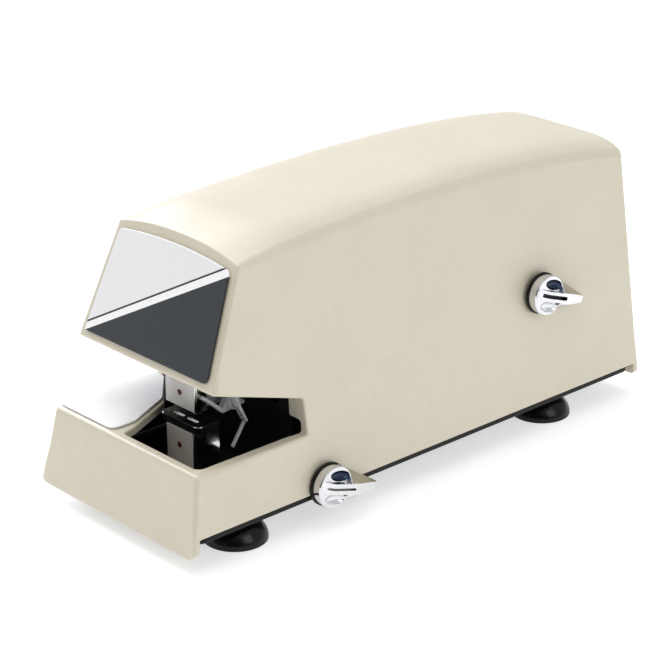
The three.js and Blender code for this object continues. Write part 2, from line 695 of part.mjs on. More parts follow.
place("chassis_left", "darkSteel", chassisSide(-CHASSIS.out, -CHASSIS.in, [-60, -59, 70, 71]));
place("chassis_right", "darkSteel",
  chassisSide(CHASSIS.in, CHASSIS.out, [-62, -38, 57.6, 64.6]));
place("arm_shaft", "steel", armShaft());
place("driver_guide_left", "darkSteel", driverGuide(-1));
place("driver_guide_right", "darkSteel", driverGuide(1));
place("magazine_rail_left", "darkSteel", magazineRail(-1, false));
place("magazine_rail_right", "darkSteel", magazineRail(1, true));
place("latch_pin", "steel", latchPin());
place("solenoid_yoke", "steel", solenoidYoke());
place("coil_bobbin", "black", coilBobbin());
place("coil_winding", "copper", coilWinding());
place("return_spring", "steel", coilSpring(10.4, 1.4, 4, 7.2),
  [0, SOLENOID.y, SOLENOID.z1 + 1.1]);
place("anvil_post", "steel", anvilPost());
place("anvil_post_rivet", "rivet", rivet(-96.2, 28.8));
place("anvil_plate", "black", anvilPlate());
place("anvil_screw", "steel", anvilScrew());
place("throat_shield", "black", throatShield());
place("depth_bearing", "black", depthBearing());
place("control_board", "board", controlBoard());
place("force_control", "black", forceControl());
place("capacitor", "label", capacitor());
place("heat_sink", "steel", heatSink());
place("terminal_block", "label", terminalBlock());
place("cord_grommet", "black", cordGrommet(), CORD_INLET);

place("magazine_channel", "steel", magazineChannel());
place("face_plate", "steel", facePlate());
place("face_plate_rivet", "rivet", rivet(HEAD.y, 51.5));
place("staple_strip", "steel", stapleStrip());
place("pusher_rod", "steel", pusherRod());
place("pusher_spring", "steel", pusherSpring());
place("staple_pusher", "steel", staplePusher());
place("magazine_latch", "chrome", magazineLatch());

place("drive_arm", "darkSteel", driveArm());
place("plunger", "steel", plunger());
place("plunger_pin", "steel", plungerPin());
place("driver_holder", "darkSteel", driverHolder());
place("driver_blade", "steel", driverBlade());

place("depth_carriage", "darkSteel", depthCarriage());
place("micro_switch", "black", microSwitch());
place("trigger_pin", "steel", triggerPin());
place("paper_trigger", "chrome", paperTrigger());

const depthPlace = [DEPTH_KNOB.x, DEPTH_KNOB.y, DEPTH_KNOB.z];
const forcePlace = [FORCE_KNOB.x, FORCE_KNOB.y, FORCE_KNOB.z];
place("depth_knob", "chrome", knob(DEPTH_KNOB.turn), depthPlace);
place("depth_shaft", "steel", depthShaft(), depthPlace);
place("force_knob", "chrome", knob(FORCE_KNOB.turn), forcePlace);
place("force_shaft", "steel", knobShaft(FORCE_KNOB.x - 34.6), forcePlace);

// The origin is on the table under the middle of everything, knobs included.
const middle = new THREE.Box3().setFromObject(stapler).getCenter(new THREE.Vector3());
stapler.position.set(-middle.x, -middle.y, 0);

export default stapler;
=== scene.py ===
import math

import bmesh
import bpy
from mathutils import Matrix, Vector


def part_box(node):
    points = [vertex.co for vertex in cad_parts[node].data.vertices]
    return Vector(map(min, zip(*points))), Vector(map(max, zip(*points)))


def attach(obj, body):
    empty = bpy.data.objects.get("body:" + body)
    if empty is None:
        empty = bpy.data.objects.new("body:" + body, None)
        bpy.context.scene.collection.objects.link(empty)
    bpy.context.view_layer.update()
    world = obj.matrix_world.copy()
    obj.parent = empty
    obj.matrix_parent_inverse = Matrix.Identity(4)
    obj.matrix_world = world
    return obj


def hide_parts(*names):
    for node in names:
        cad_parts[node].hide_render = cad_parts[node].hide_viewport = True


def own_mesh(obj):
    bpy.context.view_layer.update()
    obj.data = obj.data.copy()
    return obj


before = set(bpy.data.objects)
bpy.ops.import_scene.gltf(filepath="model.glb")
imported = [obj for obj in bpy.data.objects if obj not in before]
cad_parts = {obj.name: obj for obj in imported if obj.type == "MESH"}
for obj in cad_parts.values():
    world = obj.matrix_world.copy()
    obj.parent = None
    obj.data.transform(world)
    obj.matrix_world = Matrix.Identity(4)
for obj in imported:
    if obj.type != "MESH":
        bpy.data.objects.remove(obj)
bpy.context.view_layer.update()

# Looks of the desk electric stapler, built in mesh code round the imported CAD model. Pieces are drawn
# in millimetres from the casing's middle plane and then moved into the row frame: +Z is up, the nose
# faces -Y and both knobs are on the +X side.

# ---------------------------------------------------------------- frame and driving dimensions (mm)

MM = 0.001
casing_low, casing_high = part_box("casing")
FRONT_Y = -130.0
TO_ROW = Matrix.Translation((
    (casing_low.x + casing_high.x) / 2, casing_low.y - FRONT_Y * MM, 0)) @ Matrix.Scale(MM, 4)

SIDE_HALF = 48.0                  # half width of the casing at SIDE_BOTTOM
SIDE_BOTTOM = 14.2
DRAFT = 0.116                     # lean of the sides, mm per mm of height
CROWN = 5.2                       # rise of the roof in its middle
CROWN_POWER = 6                   # the higher, the flatter it stays towards the sides
BROW_CROWN, BROW_POWER = 3.7, 2.3           # the same at the nose's brow
BROW_LENGTH = 26.0                # how far behind the brow the roof has its full crown
ROOF_STEPS = 24                   # quads across the roof
WALL = 3.0
BASE_TOP = 39.2                   # top of the base, beside the well
SKIRT_BOTTOM = 6.1                # of the front skirt
BASE_SHEET = (10.9, 13.9)         # underside and top of the black sheet

NOSE_LIP = Vector((-113.2, 68.2))          # points of the side outline, as (y, z)
NOSE_BROW = Vector((-94.8, 114.5))
REAR_BROW = Vector((125.2, 111.7))
REAR_FOOT = Vector((130.1, 9.0))
ROOF_PEAK = Vector((48.0, 126.0))
NOSE_UP = (NOSE_BROW - NOSE_LIP).normalized()
NOSE_OUT = Vector((-NOSE_UP.y, NOSE_UP.x))
NOSE_LEAN = NOSE_UP.x / NOSE_UP.y
REAR_LEAN = (REAR_BROW.x - REAR_FOOT.x) / (REAR_BROW.y - REAR_FOOT.y)

# Both knobs, drawn with the axis along +Z and the pointer along +X.
# The knobs' collar is black to paint the shadow in the gap between knob and casing.
KNOB_R, KNOB_SHADOW_COLLAR, KNOB_FACE, KNOB_TOP = 8.8, 1.0, 5.5, 8.0
HORN_START, RIDGE_HALF, RIDGE_END = 3.2, 2.5, 10.8
POINTER, TIP_HALF, TIP_BACK, TIP_FRONT = 25.5, 1.7, 2.0, 3.6
SLOT_START, SLOT_END, SLOT_DEPTH = -5.9, 8.9, 1.6
DISH = Vector((0.8, 4.9, KNOB_FACE + 1.4))  # the ellipsoid that hollows the disc beside the ridge
DISH_RADII = Vector((6.0, 2.6, 3.0))
DEPTH_KNOB = Vector((48.3, -60.8, 17.3))
FORCE_KNOB = Vector((43.8, 66.8, 63.5))
KNOB_HOLE_R = 5.0

HEAD_DOT = Vector((0, -95.6, 51.5))         # rivets, on the fronts of the head and the anvil post
POST_DOT = Vector((0, -96.2, 28.8))
ANVIL_SCREW = Vector((0, -86.5, 0))
ANVIL_TOP = 39.9
LATCH_PIVOT = Vector((0, -80, 47))
TRIGGER_PIVOT = Vector((0, -85.5, 60.8))
PUSHER_ROD = Vector((0, 0, 51.2))           # the axes of the two springs
PLUNGER = Vector((0, 47, 0))
INLET = Vector((-20, 128, 34))              # the mains lead's hole in the rear wall
INLET_R = 7.0

FOOT_R, FOOT_H = 13.2, 10.6
FEET = {"front_left": (-33.3, -95.9), "front_right": (33.3, -95.9),
        "rear_left": (-33.3, 81.3), "rear_right": (33.3, 81.3)}

ARC_STEPS = 6                     # steps round a corner
SMOOTH_ANGLE = 35                 # edges sharper than this stay sharp when shaded
BEVEL_ANGLE = 30                  # edges sharper than this are rounded by soften()


def half_width(z):
    return SIDE_HALF - DRAFT * (z - SIDE_BOTTOM)


def crown_rise(share, y):
    """The roof's rise at a share of its half width, growing from the brow towards the rear."""
    t = min(1.0, max(0.0, (y - NOSE_BROW.x) / BROW_LENGTH))
    t = t * t * (3 - 2 * t)
    power = BROW_POWER + (CROWN_POWER - BROW_POWER) * t
    return (BROW_CROWN + (CROWN - BROW_CROWN) * t) * (1 - abs(share) ** power)


# ---------------------------------------------------------------- materials

def linear(rgb):
    """An 8-bit sRGB colour as linear RGBA."""
    out = []
    for value in rgb:
        c = value / 255
        out.append(c / 12.92 if c <= 0.04045 else ((c + 0.055) / 1.055) ** 2.4)
    return (*out, 1.0)


class Shader:
    """One node material with a Principled shader and the few nodes that every finish here needs."""

    def __init__(self, name, rgb, roughness, metallic=0.0, **sockets):
        self.material = bpy.data.materials.new(name)
        self.material.use_nodes = True
        self.nodes = self.material.node_tree.nodes
        self.links = self.material.node_tree.links
        self.principled = self.nodes["Principled BSDF"]
        self.colour = linear(rgb)
        self.principled.inputs["Base Color"].default_value = self.colour
        self.principled.inputs["Roughness"].default_value = roughness
        self.principled.inputs["Metallic"].default_value = metallic
        for key, value in sockets.items():
            self.principled.inputs[key.replace("_", " ")].default_value = value
        self.place = self.nodes.new("ShaderNodeTexCoord").outputs["Object"]
        self.normal = None

    def stretched(self, stretch):
        """The object's coordinates, stretched for a directional grain."""
        mapping = self.nodes.new("ShaderNodeMapping")
        mapping.inputs["Scale"].default_value = stretch
        self.links.new(self.place, mapping.inputs["Vector"])
        return mapping.outputs["Vector"]

    def noise(self, size_mm, detail=3.0, stretch=None, roughness=0.55):
        """Noise whose blobs measure about size_mm."""
        node = self.nodes.new("ShaderNodeTexNoise")
        node.inputs["Scale"].default_value = 1 / (size_mm * MM)
        node.inputs["Detail"].default_value = detail
        node.inputs["Roughness"].default_value = roughness
        source = self.stretched(stretch) if stretch else self.place
        self.links.new(source, node.inputs["Vector"])
        return node.outputs["Fac"]

    def spread(self, value, low, high, from_low=0.3, from_high=0.7):
        """value mapped from its usual range to low..high."""
        node = self.nodes.new("ShaderNodeMapRange")
        node.inputs["From Min"].default_value = from_low
        node.inputs["From Max"].default_value = from_high
        node.inputs["To Min"].default_value = low
        node.inputs["To Max"].default_value = high
        self.links.new(value, node.inputs["Value"])
        return node.outputs["Result"]

    def tint(self, factor, rgb):
        """Mixes rgb over what the base colour is so far."""
        mix = self.nodes.new("ShaderNodeMix")
        mix.data_type = "RGBA"
        target = self.principled.inputs["Base Color"]
        if target.is_linked:
            self.links.new(target.links[0].from_socket, mix.inputs["A"])
        else:
            mix.inputs["A"].default_value = self.colour
        mix.inputs["B"].default_value = linear(rgb)
        self.links.new(factor, mix.inputs["Factor"])
        self.links.new(mix.outputs["Result"], target)

    def vary_roughness(self, value, low, high):
        self.links.new(self.spread(value, low, high), self.principled.inputs["Roughness"])

    def bump(self, height, depth_mm):
        """Adds a bump of about depth_mm on top of what is there already."""
        node = self.nodes.new("ShaderNodeBump")
        node.inputs["Distance"].default_value = depth_mm * MM
        self.links.new(height, node.inputs["Height"])
        if self.normal:
            self.links.new(self.normal, node.inputs["Normal"])
        self.normal = node.outputs["Normal"]
        self.links.new(self.normal, self.principled.inputs["Normal"])

    def edges(self, rgb, amount):
        """Tints the convex edges, where handling wears a surface."""
        point = self.nodes.new("ShaderNodeNewGeometry").outputs["Pointiness"]
        self.tint(self.spread(point, 0.0, amount, 0.52, 0.6), rgb)


def plastic(name, rgb, roughness, worn, grain_mm=0.5, grain_depth=0.01, **sockets):
    """A moulded plastic: fine grain, faint mottling and edges worn smooth."""
    shader = Shader(name, rgb, roughness, **sockets)
    darker = [0.93 * c for c in rgb]
    shader.tint(shader.spread(shader.noise(28.0, 4.0), 0.0, 0.35), darker)
    shader.tint(shader.spread(shader.noise(2.4, 2.0), 0.0, 0.22), darker)
    shader.edges(worn, 0.5)
    grain = shader.noise(grain_mm, 3.0)
    shader.vary_roughness(shader.noise(9.0, 5.0), roughness - 0.06, roughness + 0.08)
    shader.bump(grain, grain_depth)
    return shader.material


def sheet_metal(name, rgb, roughness, grain, worn=(236, 236, 238), depth=0.004, metallic=1.0):
    """A drawn or brushed metal; grain stretches its scratches, with small numbers along them."""
    shader = Shader(name, rgb, roughness, metallic)
    lines = shader.noise(0.16, 4.0, grain, 0.7)
    darker = [0.78 * c for c in rgb]
    shader.tint(shader.spread(lines, 0.0, 0.45), darker)
    shader.tint(shader.spread(shader.noise(7.0, 3.0), 0.0, 0.25), darker)
    shader.edges(worn, 0.6)
    shader.vary_roughness(lines, roughness - 0.07, roughness + 0.12)
    shader.bump(lines, depth)
    return shader.material


def chrome_plate():
    """Bright plating with a few hairline scratches and faint clouding."""
    shader = Shader("chrome", (226, 227, 230), 0.06, 1.0)
    cloud = shader.noise(5.0, 4.0)
    shader.tint(shader.spread(cloud, 0.0, 0.2), (190, 190, 194))
    shader.vary_roughness(cloud, 0.04, 0.13)
    shader.bump(shader.noise(0.3, 2.0, (0.08, 1.0, 1.0), 0.6), 0.0015)
    return shader.material


def casing_plastic():
    return plastic("casing_plastic", (213, 205, 184), 0.40, (232, 225, 205), 0.45, 0.008,
                   Specular_IOR_Level=0.75, Coat_Weight=0.4, Coat_Roughness=0.3)


def base_paint():
    """Black stoving paint on sheet steel, rubbed through to a dull grey along its edges."""
    shader = Shader("base_paint", (7, 7, 8), 0.4, Specular_IOR_Level=0.2)
    shader.tint(shader.spread(shader.noise(11.0, 4.0), 0.0, 0.5), (13, 13, 14))
    shader.edges((24, 24, 23), 0.6)
    shader.vary_roughness(shader.noise(6.0, 4.0), 0.30, 0.48)
    shader.bump(shader.noise(0.7, 4.0), 0.012)
    return shader.material


def anvil_black():
    """Blackened steel with bright edges where the oxide has worn off."""
    shader = Shader("anvil_black", (9, 9, 10), 0.24, Specular_IOR_Level=0.3)
    shader.tint(shader.spread(shader.noise(1.6, 3.0), 0.0, 0.4), (20, 20, 22))
    shader.edges((46, 46, 48), 0.5)
    shader.vary_roughness(shader.noise(2.5, 4.0), 0.18, 0.34)
    shader.bump(shader.noise(0.25, 3.0), 0.003)
    return shader.material


def rubber():
    """Smooth moulded rubber with a waxy shine and a little dust."""
    shader = Shader("rubber", (6, 6, 7), 0.18, Specular_IOR_Level=0.25)
    shader.tint(shader.spread(shader.noise(3.0, 5.0), 0.0, 0.35), (17, 17, 19))
    shader.vary_roughness(shader.noise(4.0, 4.0), 0.12, 0.26)
    shader.bump(shader.noise(0.6, 4.0), 0.008)
    return shader.material


def label_silver():
    """Pale satin foil, brushed along the nose's width."""
    shader = Shader("label_silver", (243, 243, 245), 0.34, 0.15)
    brushed = shader.noise(0.14, 3.0, (0.04, 1.0, 1.0), 0.6)
    shader.tint(shader.spread(brushed, 0.0, 0.3), (232, 232, 236))
    shader.vary_roughness(brushed, 0.26, 0.42)
    shader.bump(brushed, 0.0015)
    return shader.material


def label_ink(name, rgb, roughness):
    """Screen ink on the faceplate: a faint stipple and slightly uneven gloss."""
    shader = Shader(name, rgb, roughness)
    lighter = [min(255, c * 1.12 + 5) for c in rgb]
    shader.tint(shader.spread(shader.noise(0.35, 3.0), 0.0, 0.3), lighter)
    shader.tint(shader.spread(shader.noise(12.0, 3.0), 0.0, 0.3), lighter)
    shader.vary_roughness(shader.noise(3.0, 3.0), roughness - 0.06, roughness + 0.08)
    shader.bump(shader.noise(0.3, 3.0), 0.003)
    return shader.material


def enamel():
    """Glossy off-white enamel of the work plate, with faint paper scuffs."""
    shader = Shader("enamel", (252, 252, 253), 0.4, Specular_IOR_Level=0.3)
    shader.tint(shader.spread(shader.noise(6.0, 4.0), 0.0, 0.35), (232, 232, 236))
    shader.edges((252, 252, 252), 0.7)
    shader.vary_roughness(shader.noise(1.5, 4.0, (1.0, 0.12, 1.0)), 0.32, 0.50)
    shader.bump(shader.noise(0.5, 3.0), 0.002)
    return shader.material


def copper():
    """Enamelled wire laid turn by turn."""
    shader = Shader("copper", (176, 104, 58), 0.32, 1.0)
    wave = shader.nodes.new("ShaderNodeTexWave")
    wave.bands_direction = "Z"
    wave.inputs["Scale"].default_value = 1 / (2.2 * MM)
    wave.inputs["Distortion"].default_value = 0.4
    shader.links.new(shader.place, wave.inputs["Vector"])
    shader.tint(shader.spread(wave.outputs["Fac"], 0.35, 0.0, 0.0, 0.6), (96, 48, 24))
    shader.bump(wave.outputs["Fac"], 0.12)
    shader.vary_roughness(shader.noise(2.0), 0.26, 0.44)
    return shader.material


def board():
    """Brown phenolic board with the weave of its paper showing."""
    shader = Shader("board", (124, 92, 52), 0.5)
    weave = shader.noise(0.5, 2.0, (1.0, 1.0, 0.25))
    shader.tint(shader.spread(weave, 0.0, 0.5), (98, 70, 38))
    shader.vary_roughness(shader.noise(4.0), 0.42, 0.62)
    shader.bump(weave, 0.01)
    return shader.material


def dark_red():
    shader = Shader("dark_red", (98, 30, 28), 0.45, 0.2)
    shader.tint(shader.spread(shader.noise(0.5, 3.0), 0.0, 0.5), (60, 18, 18))
    shader.vary_roughness(shader.noise(0.6), 0.35, 0.6)
    shader.bump(shader.noise(0.2), 0.004)
    return shader.material


ACROSS = (0.04, 1.0, 1.0)         # scratches along X, Y or Z
ALONG = (1.0, 0.04, 1.0)
UPRIGHT = (1.0, 1.0, 0.04)

FINISH = {
    "casing": casing_plastic(),
    "inner_black": plastic("inner_black", (22, 22, 23), 0.38, (40, 40, 41), 0.8, 0.01),
    "base_black": base_paint(),
    "anvil_black": anvil_black(),
    "black_plastic": plastic("black_plastic", (19, 19, 21), 0.34, (52, 52, 54), 0.35, 0.006),
    "ivory_plastic": plastic("ivory_plastic", (214, 208, 190), 0.42, (232, 228, 214)),
    "capacitor_sleeve": plastic("capacitor_sleeve", (196, 190, 172), 0.36, (214, 208, 192)),
    "rubber": rubber(),
    "copper": copper(),
    "board": board(),
    "aluminium": sheet_metal("aluminium", (196, 198, 201), 0.38, UPRIGHT),
    "chrome": chrome_plate(),
    # Chrome tinted beige: the casing's reflection painted into the knobs' upper flank.
    "chrome_painted_casing_reflection": sheet_metal("chrome_painted_casing_reflection", (196, 190, 170), 0.22, ACROSS, (232, 232, 230), 0.002),
    # Chrome tinted dark blue: the darker room's reflection painted into the knobs' upper dish.
    "chrome_painted_dark_reflection": sheet_metal("chrome_painted_dark_reflection", (52, 62, 84), 0.12, ACROSS, (90, 100, 120), 0.001),
    # Steel whitened almost to white paint: painted light on the latch and the trigger in the nose's
    # shade; the right magazine rail shares it.
    "steel_whitened_painted_light": sheet_metal("steel_whitened_painted_light", (250, 250, 250), 0.26, UPRIGHT, (254, 254, 254),
                                0.002, 0.1),
    "brushed_steel": sheet_metal("brushed_steel", (196, 192, 184), 0.40, ACROSS, metallic=0.45),
    # A paler, less metallic copy of the brushed steel: painted light on the anvil post, which stands in
    # the nose's shade.
    "post_steel_painted_light": sheet_metal("post_steel_painted_light", (236, 232, 224), 0.45, ACROSS, metallic=0.1),
    "steel": sheet_metal("steel", (170, 168, 163), 0.30, ALONG),
    "dark_steel": sheet_metal("dark_steel", (62, 63, 66), 0.42, ALONG, (140, 140, 142)),
    "rivet": dark_red(),
    "label": label_silver(),
    "stripe_white": label_ink("stripe_white", (250, 250, 250), 0.30),
    "stripe_dark": label_ink("stripe_dark", (38, 38, 42), 0.34),
    "slate": label_ink("slate", (38, 43, 48), 0.42),
    "work_plate": enamel(),
}


# ---------------------------------------------------------------- mesh helpers

def loft(rings):
    """Quads between successive closed rings of points, with flat ends."""
    bm = bmesh.new()
    rows = [[bm.verts.new(p) for p in ring] for ring in rings]
    count = len(rows[0])
    for a, b in zip(rows, rows[1:]):
        for i in range(count):
            j = (i + 1) % count
            bm.faces.new((a[i], a[j], b[j], b[i]))
    bm.faces.new(rows[0])
    bm.faces.new(rows[-1])
    bmesh.ops.recalc_face_normals(bm, faces=bm.faces)
    return bm


def rounded(corners, steps=ARC_STEPS):
    """A closed outline of (u, v, radius, extra...) corners with each corner rounded, as a list of
    (point, reach, extra). A point moved by its reach lies 1 mm further out, whatever the corner."""
    turned = sum(a[0] * b[1] - b[0] * a[1] for a, b in zip(corners, corners[1:] + corners[:1]))
    if turned < 0:
        corners = corners[::-1]
    path = []
    count = len(corners)
    for i, (u, v, radius, *extra) in enumerate(corners):
        here = Vector((u, v))
        before = (Vector(corners[i - 1][:2]) - here).normalized()
        after = (Vector(corners[(i + 1) % count][:2]) - here).normalized()
        turn = math.pi - before.angle(after)
        if radius < 1e-6 or turn < 1e-3:
            normal_in, normal_out = Vector((-before.y, before.x)), Vector((after.y, -after.x))
            path.append((here, (normal_in + normal_out) / (1 + normal_in.dot(normal_out)), extra))
            continue
        tangent = radius * math.tan(turn / 2)
        centre = here + (before + after).normalized() * (radius / math.cos(turn / 2))
        start, end = here + before * tangent - centre, here + after * tangent - centre
        outward = 1 if before.cross(after) < 0 else -1
        for k in range(steps + 1):
            arm = start.slerp(end, k / steps).normalized()
            path.append((centre + arm * radius, arm * outward, extra))
    return path


def outline(*corners, steps=ARC_STEPS):
    """A rounded outline without extras."""
    return [(point, reach) for point, reach, _ in rounded(list(corners), steps)]


def grown(rim, distance):
    """An outline moved outward, or inward by a negative distance."""
    return [(point + reach * distance, reach) for point, reach in rim]


def prism(rim, axis, low, high, round_low=0.0, round_high=0.0, steps=4):
    """A prism of an outline along x, y or z. Its ends can be rounded, and a negative radius
    flares them outward instead."""
    def ring(level, inset):
        moved = [point - reach * inset for point, reach in rim]
        if axis == "x":
            return [(level, p.x, p.y) for p in moved]
        if axis == "y":
            return [(p.x, level, p.y) for p in moved]
        return [(p.x, p.y, level) for p in moved]

    def end(level, inward, radius):
        """The rings that lead to one end, from inside to outside."""
        if not radius:
            return [ring(level, 0.0)]
        angles = [math.pi / 2 * k / steps for k in range(steps + 1)]
        return [ring(level + inward * abs(radius) * (1 - math.sin(a)), radius * (1 - math.cos(a)))
                for a in angles]

    return loft(end(low, 1, round_low)[::-1] + end(high, -1, round_high))


def box(x0, x1, y0, y1, z0, z1):
    bm = bmesh.new()
    size = Matrix.Diagonal((x1 - x0, y1 - y0, z1 - z0, 1))
    middle = Matrix.Translation(((x0 + x1) / 2, (y0 + y1) / 2, (z0 + z1) / 2))
    bmesh.ops.create_cube(bm, size=1, matrix=middle @ size)
    return bm


def lathe(profile, sides=64, matrix=Matrix.Identity(4)):
    """A solid turned about +Z from an open (radius, z) profile that starts and ends on the axis,
    or a ring from a closed one, then placed by matrix."""
    bm = bmesh.new()
    columns = []
    for i in range(sides):
        angle = 2 * math.pi * i / sides
        columns.append([
            None if r < 1e-6 else bm.verts.new((r * math.cos(angle), r * math.sin(angle), z))
            for r, z in profile])
    poles = {k: bm.verts.new((0, 0, z)) for k, (r, z) in enumerate(profile) if r < 1e-6}
    spans = len(profile) if not poles else len(profile) - 1
    for i in range(sides):
        a, b = columns[i], columns[(i + 1) % sides]
        for k in range(spans):
            m = (k + 1) % len(profile)
            corners = [a[k] or poles[k], b[k] or poles[k], b[m] or poles[m], a[m] or poles[m]]
            unique = list(dict.fromkeys(corners))
            if len(unique) > 2:
                bm.faces.new(unique)
    bmesh.ops.recalc_face_normals(bm, faces=bm.faces)
    bm.transform(matrix)
    return bm


def rod(radius, low, high, sides=32, matrix=Matrix.Identity(4)):
    """A plain cylinder about +Z, from low to high, then placed by matrix."""
    return lathe([(0, low), (radius, low), (radius, high), (0, high)], sides, matrix)


def facing_right(centre):
    """Places what is drawn about +Z so that it faces +X from centre."""
    return Matrix.Translation(centre) @ Matrix.Rotation(math.pi / 2, 4, "Y")


def facing_front(centre, lean=0.0):
    """Places what is drawn about +Z so that it faces -Y from centre."""
    return Matrix.Translation(centre) @ Matrix.Rotation(math.pi / 2 - lean, 4, "X")


def hull(points):
    bm = bmesh.new()
    for p in points:
        bm.verts.new(p)
    made = bmesh.ops.convex_hull(bm, input=bm.verts)
    loose = set(made["geom_interior"] + made["geom_unused"])
    bmesh.ops.delete(bm, geom=[g for g in loose if isinstance(g, bmesh.types.BMVert)])
    bmesh.ops.dissolve_limit(bm, angle_limit=0.01, verts=bm.verts, edges=bm.edges)
    return bm


def soften(bm, width, segments=2):
    """Rounds every edge that is sharper than BEVEL_ANGLE."""
    sharp = [e for e in bm.edges
             if len(e.link_faces) == 2 and e.calc_face_angle(0) > math.radians(BEVEL_ANGLE)]
    bmesh.ops.bevel(bm, geom=sharp, offset=width, segments=segments, profile=0.5,
                    affect="EDGES", clamp_overlap=True)


def link(name, data):
    """A new object in the scene, for a mesh, a light or the camera."""
    obj = bpy.data.objects.new(name, data)
    bpy.context.scene.collection.objects.link(obj)
    return obj


def as_object(bm, name):
    mesh = bpy.data.meshes.new(name)
    bm.to_mesh(mesh)
    bm.free()
    return link(name, mesh)


def combine(base, tools, operation="DIFFERENCE"):
    """base with each tool cut out of it, or joined to it."""
    body = as_object(base, "body")
    others = [as_object(tool, "tool") for tool in tools]
    for other in others:
        modifier = body.modifiers.new("combine", "BOOLEAN")
        modifier.operation = operation
        modifier.solver = "EXACT"
        modifier.object = other
    graph = bpy.context.evaluated_depsgraph_get()
    result = bmesh.new()
    result.from_object(body, graph)
    for obj in [body, *others]:
        mesh = obj.data
        bpy.data.objects.remove(obj)
        bpy.data.meshes.remove(mesh)
    bmesh.ops.remove_doubles(result, verts=result.verts, dist=0.002)
    bmesh.ops.dissolve_degenerate(result, edges=result.edges, dist=0.001)
    crooked = [face for face in result.faces if len(face.verts) > 4]
    bmesh.ops.triangulate(result, faces=crooked)
    return result


def paint(bm, index, chosen):
    """Gives the chosen faces the piece's finish of this index."""
    for face in bm.faces:
        if chosen(face):
            face.material_index = index


def piece(name, bm, finishes, body, stands_for, smooth=SMOOTH_ANGLE, weighted=True, flat=None):
    """A finished piece: shaded smooth up to an angle, riding on its body. A flat wall that the
    flat test names keeps its own normals up to its edge."""
    for face in bm.faces:
        face.smooth = True
    for edge in bm.edges:
        same = flat is None or len({flat(face) for face in edge.link_faces}) == 1
        edge.smooth = same and edge.calc_face_angle(math.pi) < math.radians(smooth)
    bm.transform(TO_ROW)
    obj = as_object(bm, name)
    for finish in finishes:
        obj.data.materials.append(FINISH[finish])
    if weighted:
        modifier = obj.modifiers.new("flat faces", "WEIGHTED_NORMAL")
        modifier.keep_sharp = True
    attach(obj, body)
    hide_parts(*stands_for)
    return obj


# ---------------------------------------------------------------- casing

def roof_corners(front, rear, drop, side_radius, steps=40):
    """Corners of the roof line from rear to front, without its two ends."""
    middle = Vector((ROOF_PEAK.x, ROOF_PEAK.y - drop))
    corners = []
    for k in range(steps - 1, 0, -1):
        t = k / steps
        p = front * (1 - t) ** 2 + middle * 2 * t * (1 - t) + rear * t ** 2
        corners.append((p.x, p.y, 0.0, side_radius))
    return corners


def subdivided(path, longest=9.0):
    """The same path with points added on its long straight parts."""
    out = []
    for i, (point, reach, (radius,)) in enumerate(path):
        after, next_reach, (next_radius,) = path[(i + 1) % len(path)]
        parts = max(1, math.ceil((after - point).length / longest))
        for k in range(parts):
            t = k / parts
            out.append((point.lerp(after, t), reach.lerp(next_reach, t),
                        radius + (next_radius - radius) * t))
    return out


def swept(corners, inset, roof_from):
    """A side outline swept over the casing's width. Each corner is (y, z, radius, side radius),
    and the side radius rounds the edge between the outline's band and the flat side. What lies
    above roof_from rises to the crown."""
    path = subdivided(rounded(corners))

    def lean(y):
        if y < NOSE_BROW.x + WALL:
            return NOSE_LEAN
        return REAR_LEAN if y > REAR_BROW.x - WALL - 1 else 0.0

    def ring(fraction, angle):
        made = []
        for point, reach, radius in path:
            moved = point - reach * radius * (1 - math.cos(angle))
            side = half_width(moved.y) - inset
            x = fraction * (side - radius * (1 - math.sin(angle)))
            rise = crown_rise(x / side, point.x) if point.y > roof_from else 0.0
            made.append((x, moved.x + lean(point.x) * rise, moved.y + rise))
        return made

    rounding = []
    if any(radius for _, _, radius in path):
        rounding = [math.pi / 2 * k / ARC_STEPS for k in range(ARC_STEPS, 0, -1)]
    rings = [ring(-1, angle) for angle in rounding]
    rings += [ring(-1 + 2 * k / ROOF_STEPS, 0.0) for k in range(ROOF_STEPS + 1)]
    rings += [ring(1, angle) for angle in reversed(rounding)]
    return loft(rings)


def casing_outer():
    """The outside of the casing: skirts, rear, roof, nose, throat and base."""
    rear_low, rear_high = (REAR_FOOT.lerp(REAR_BROW, share) for share in (0.06, 0.2))
    return swept([
        (FRONT_Y, SKIRT_BOTTOM, 1.0, 0.9),
        (-126.9, SKIRT_BOTTOM, 0.9, 0.8),
        (-125.4, SIDE_BOTTOM, 0.6, 0.9),
        (126.8, SIDE_BOTTOM, 0.6, 0.9),
        (127.0, REAR_FOOT.y, 0.9, 0.8),
        (REAR_FOOT.x, REAR_FOOT.y, 1.0, 0.9),
        (*rear_low, 0.0, 1.1),
        (*rear_high, 0.0, 1.8),
        (*REAR_BROW, 2.2, 2.0),
        *roof_corners(NOSE_BROW, REAR_BROW, 0.0, 2.4),
        (*NOSE_BROW, 1.4, 1.2),
        (*NOSE_LIP, 1.1, 1.0),
        (-68.5, 54.5, 2.0, 1.0),
        (-67.7, BASE_TOP, 1.2, 1.0),
        (-124.0, BASE_TOP, 2.2, 2.0),
        (-127.1, 22.1, 0.0, 2.2),
        (-128.5, 14.4, 0.0, 1.1),
    ], 0.0, NOSE_BROW.y - 4)


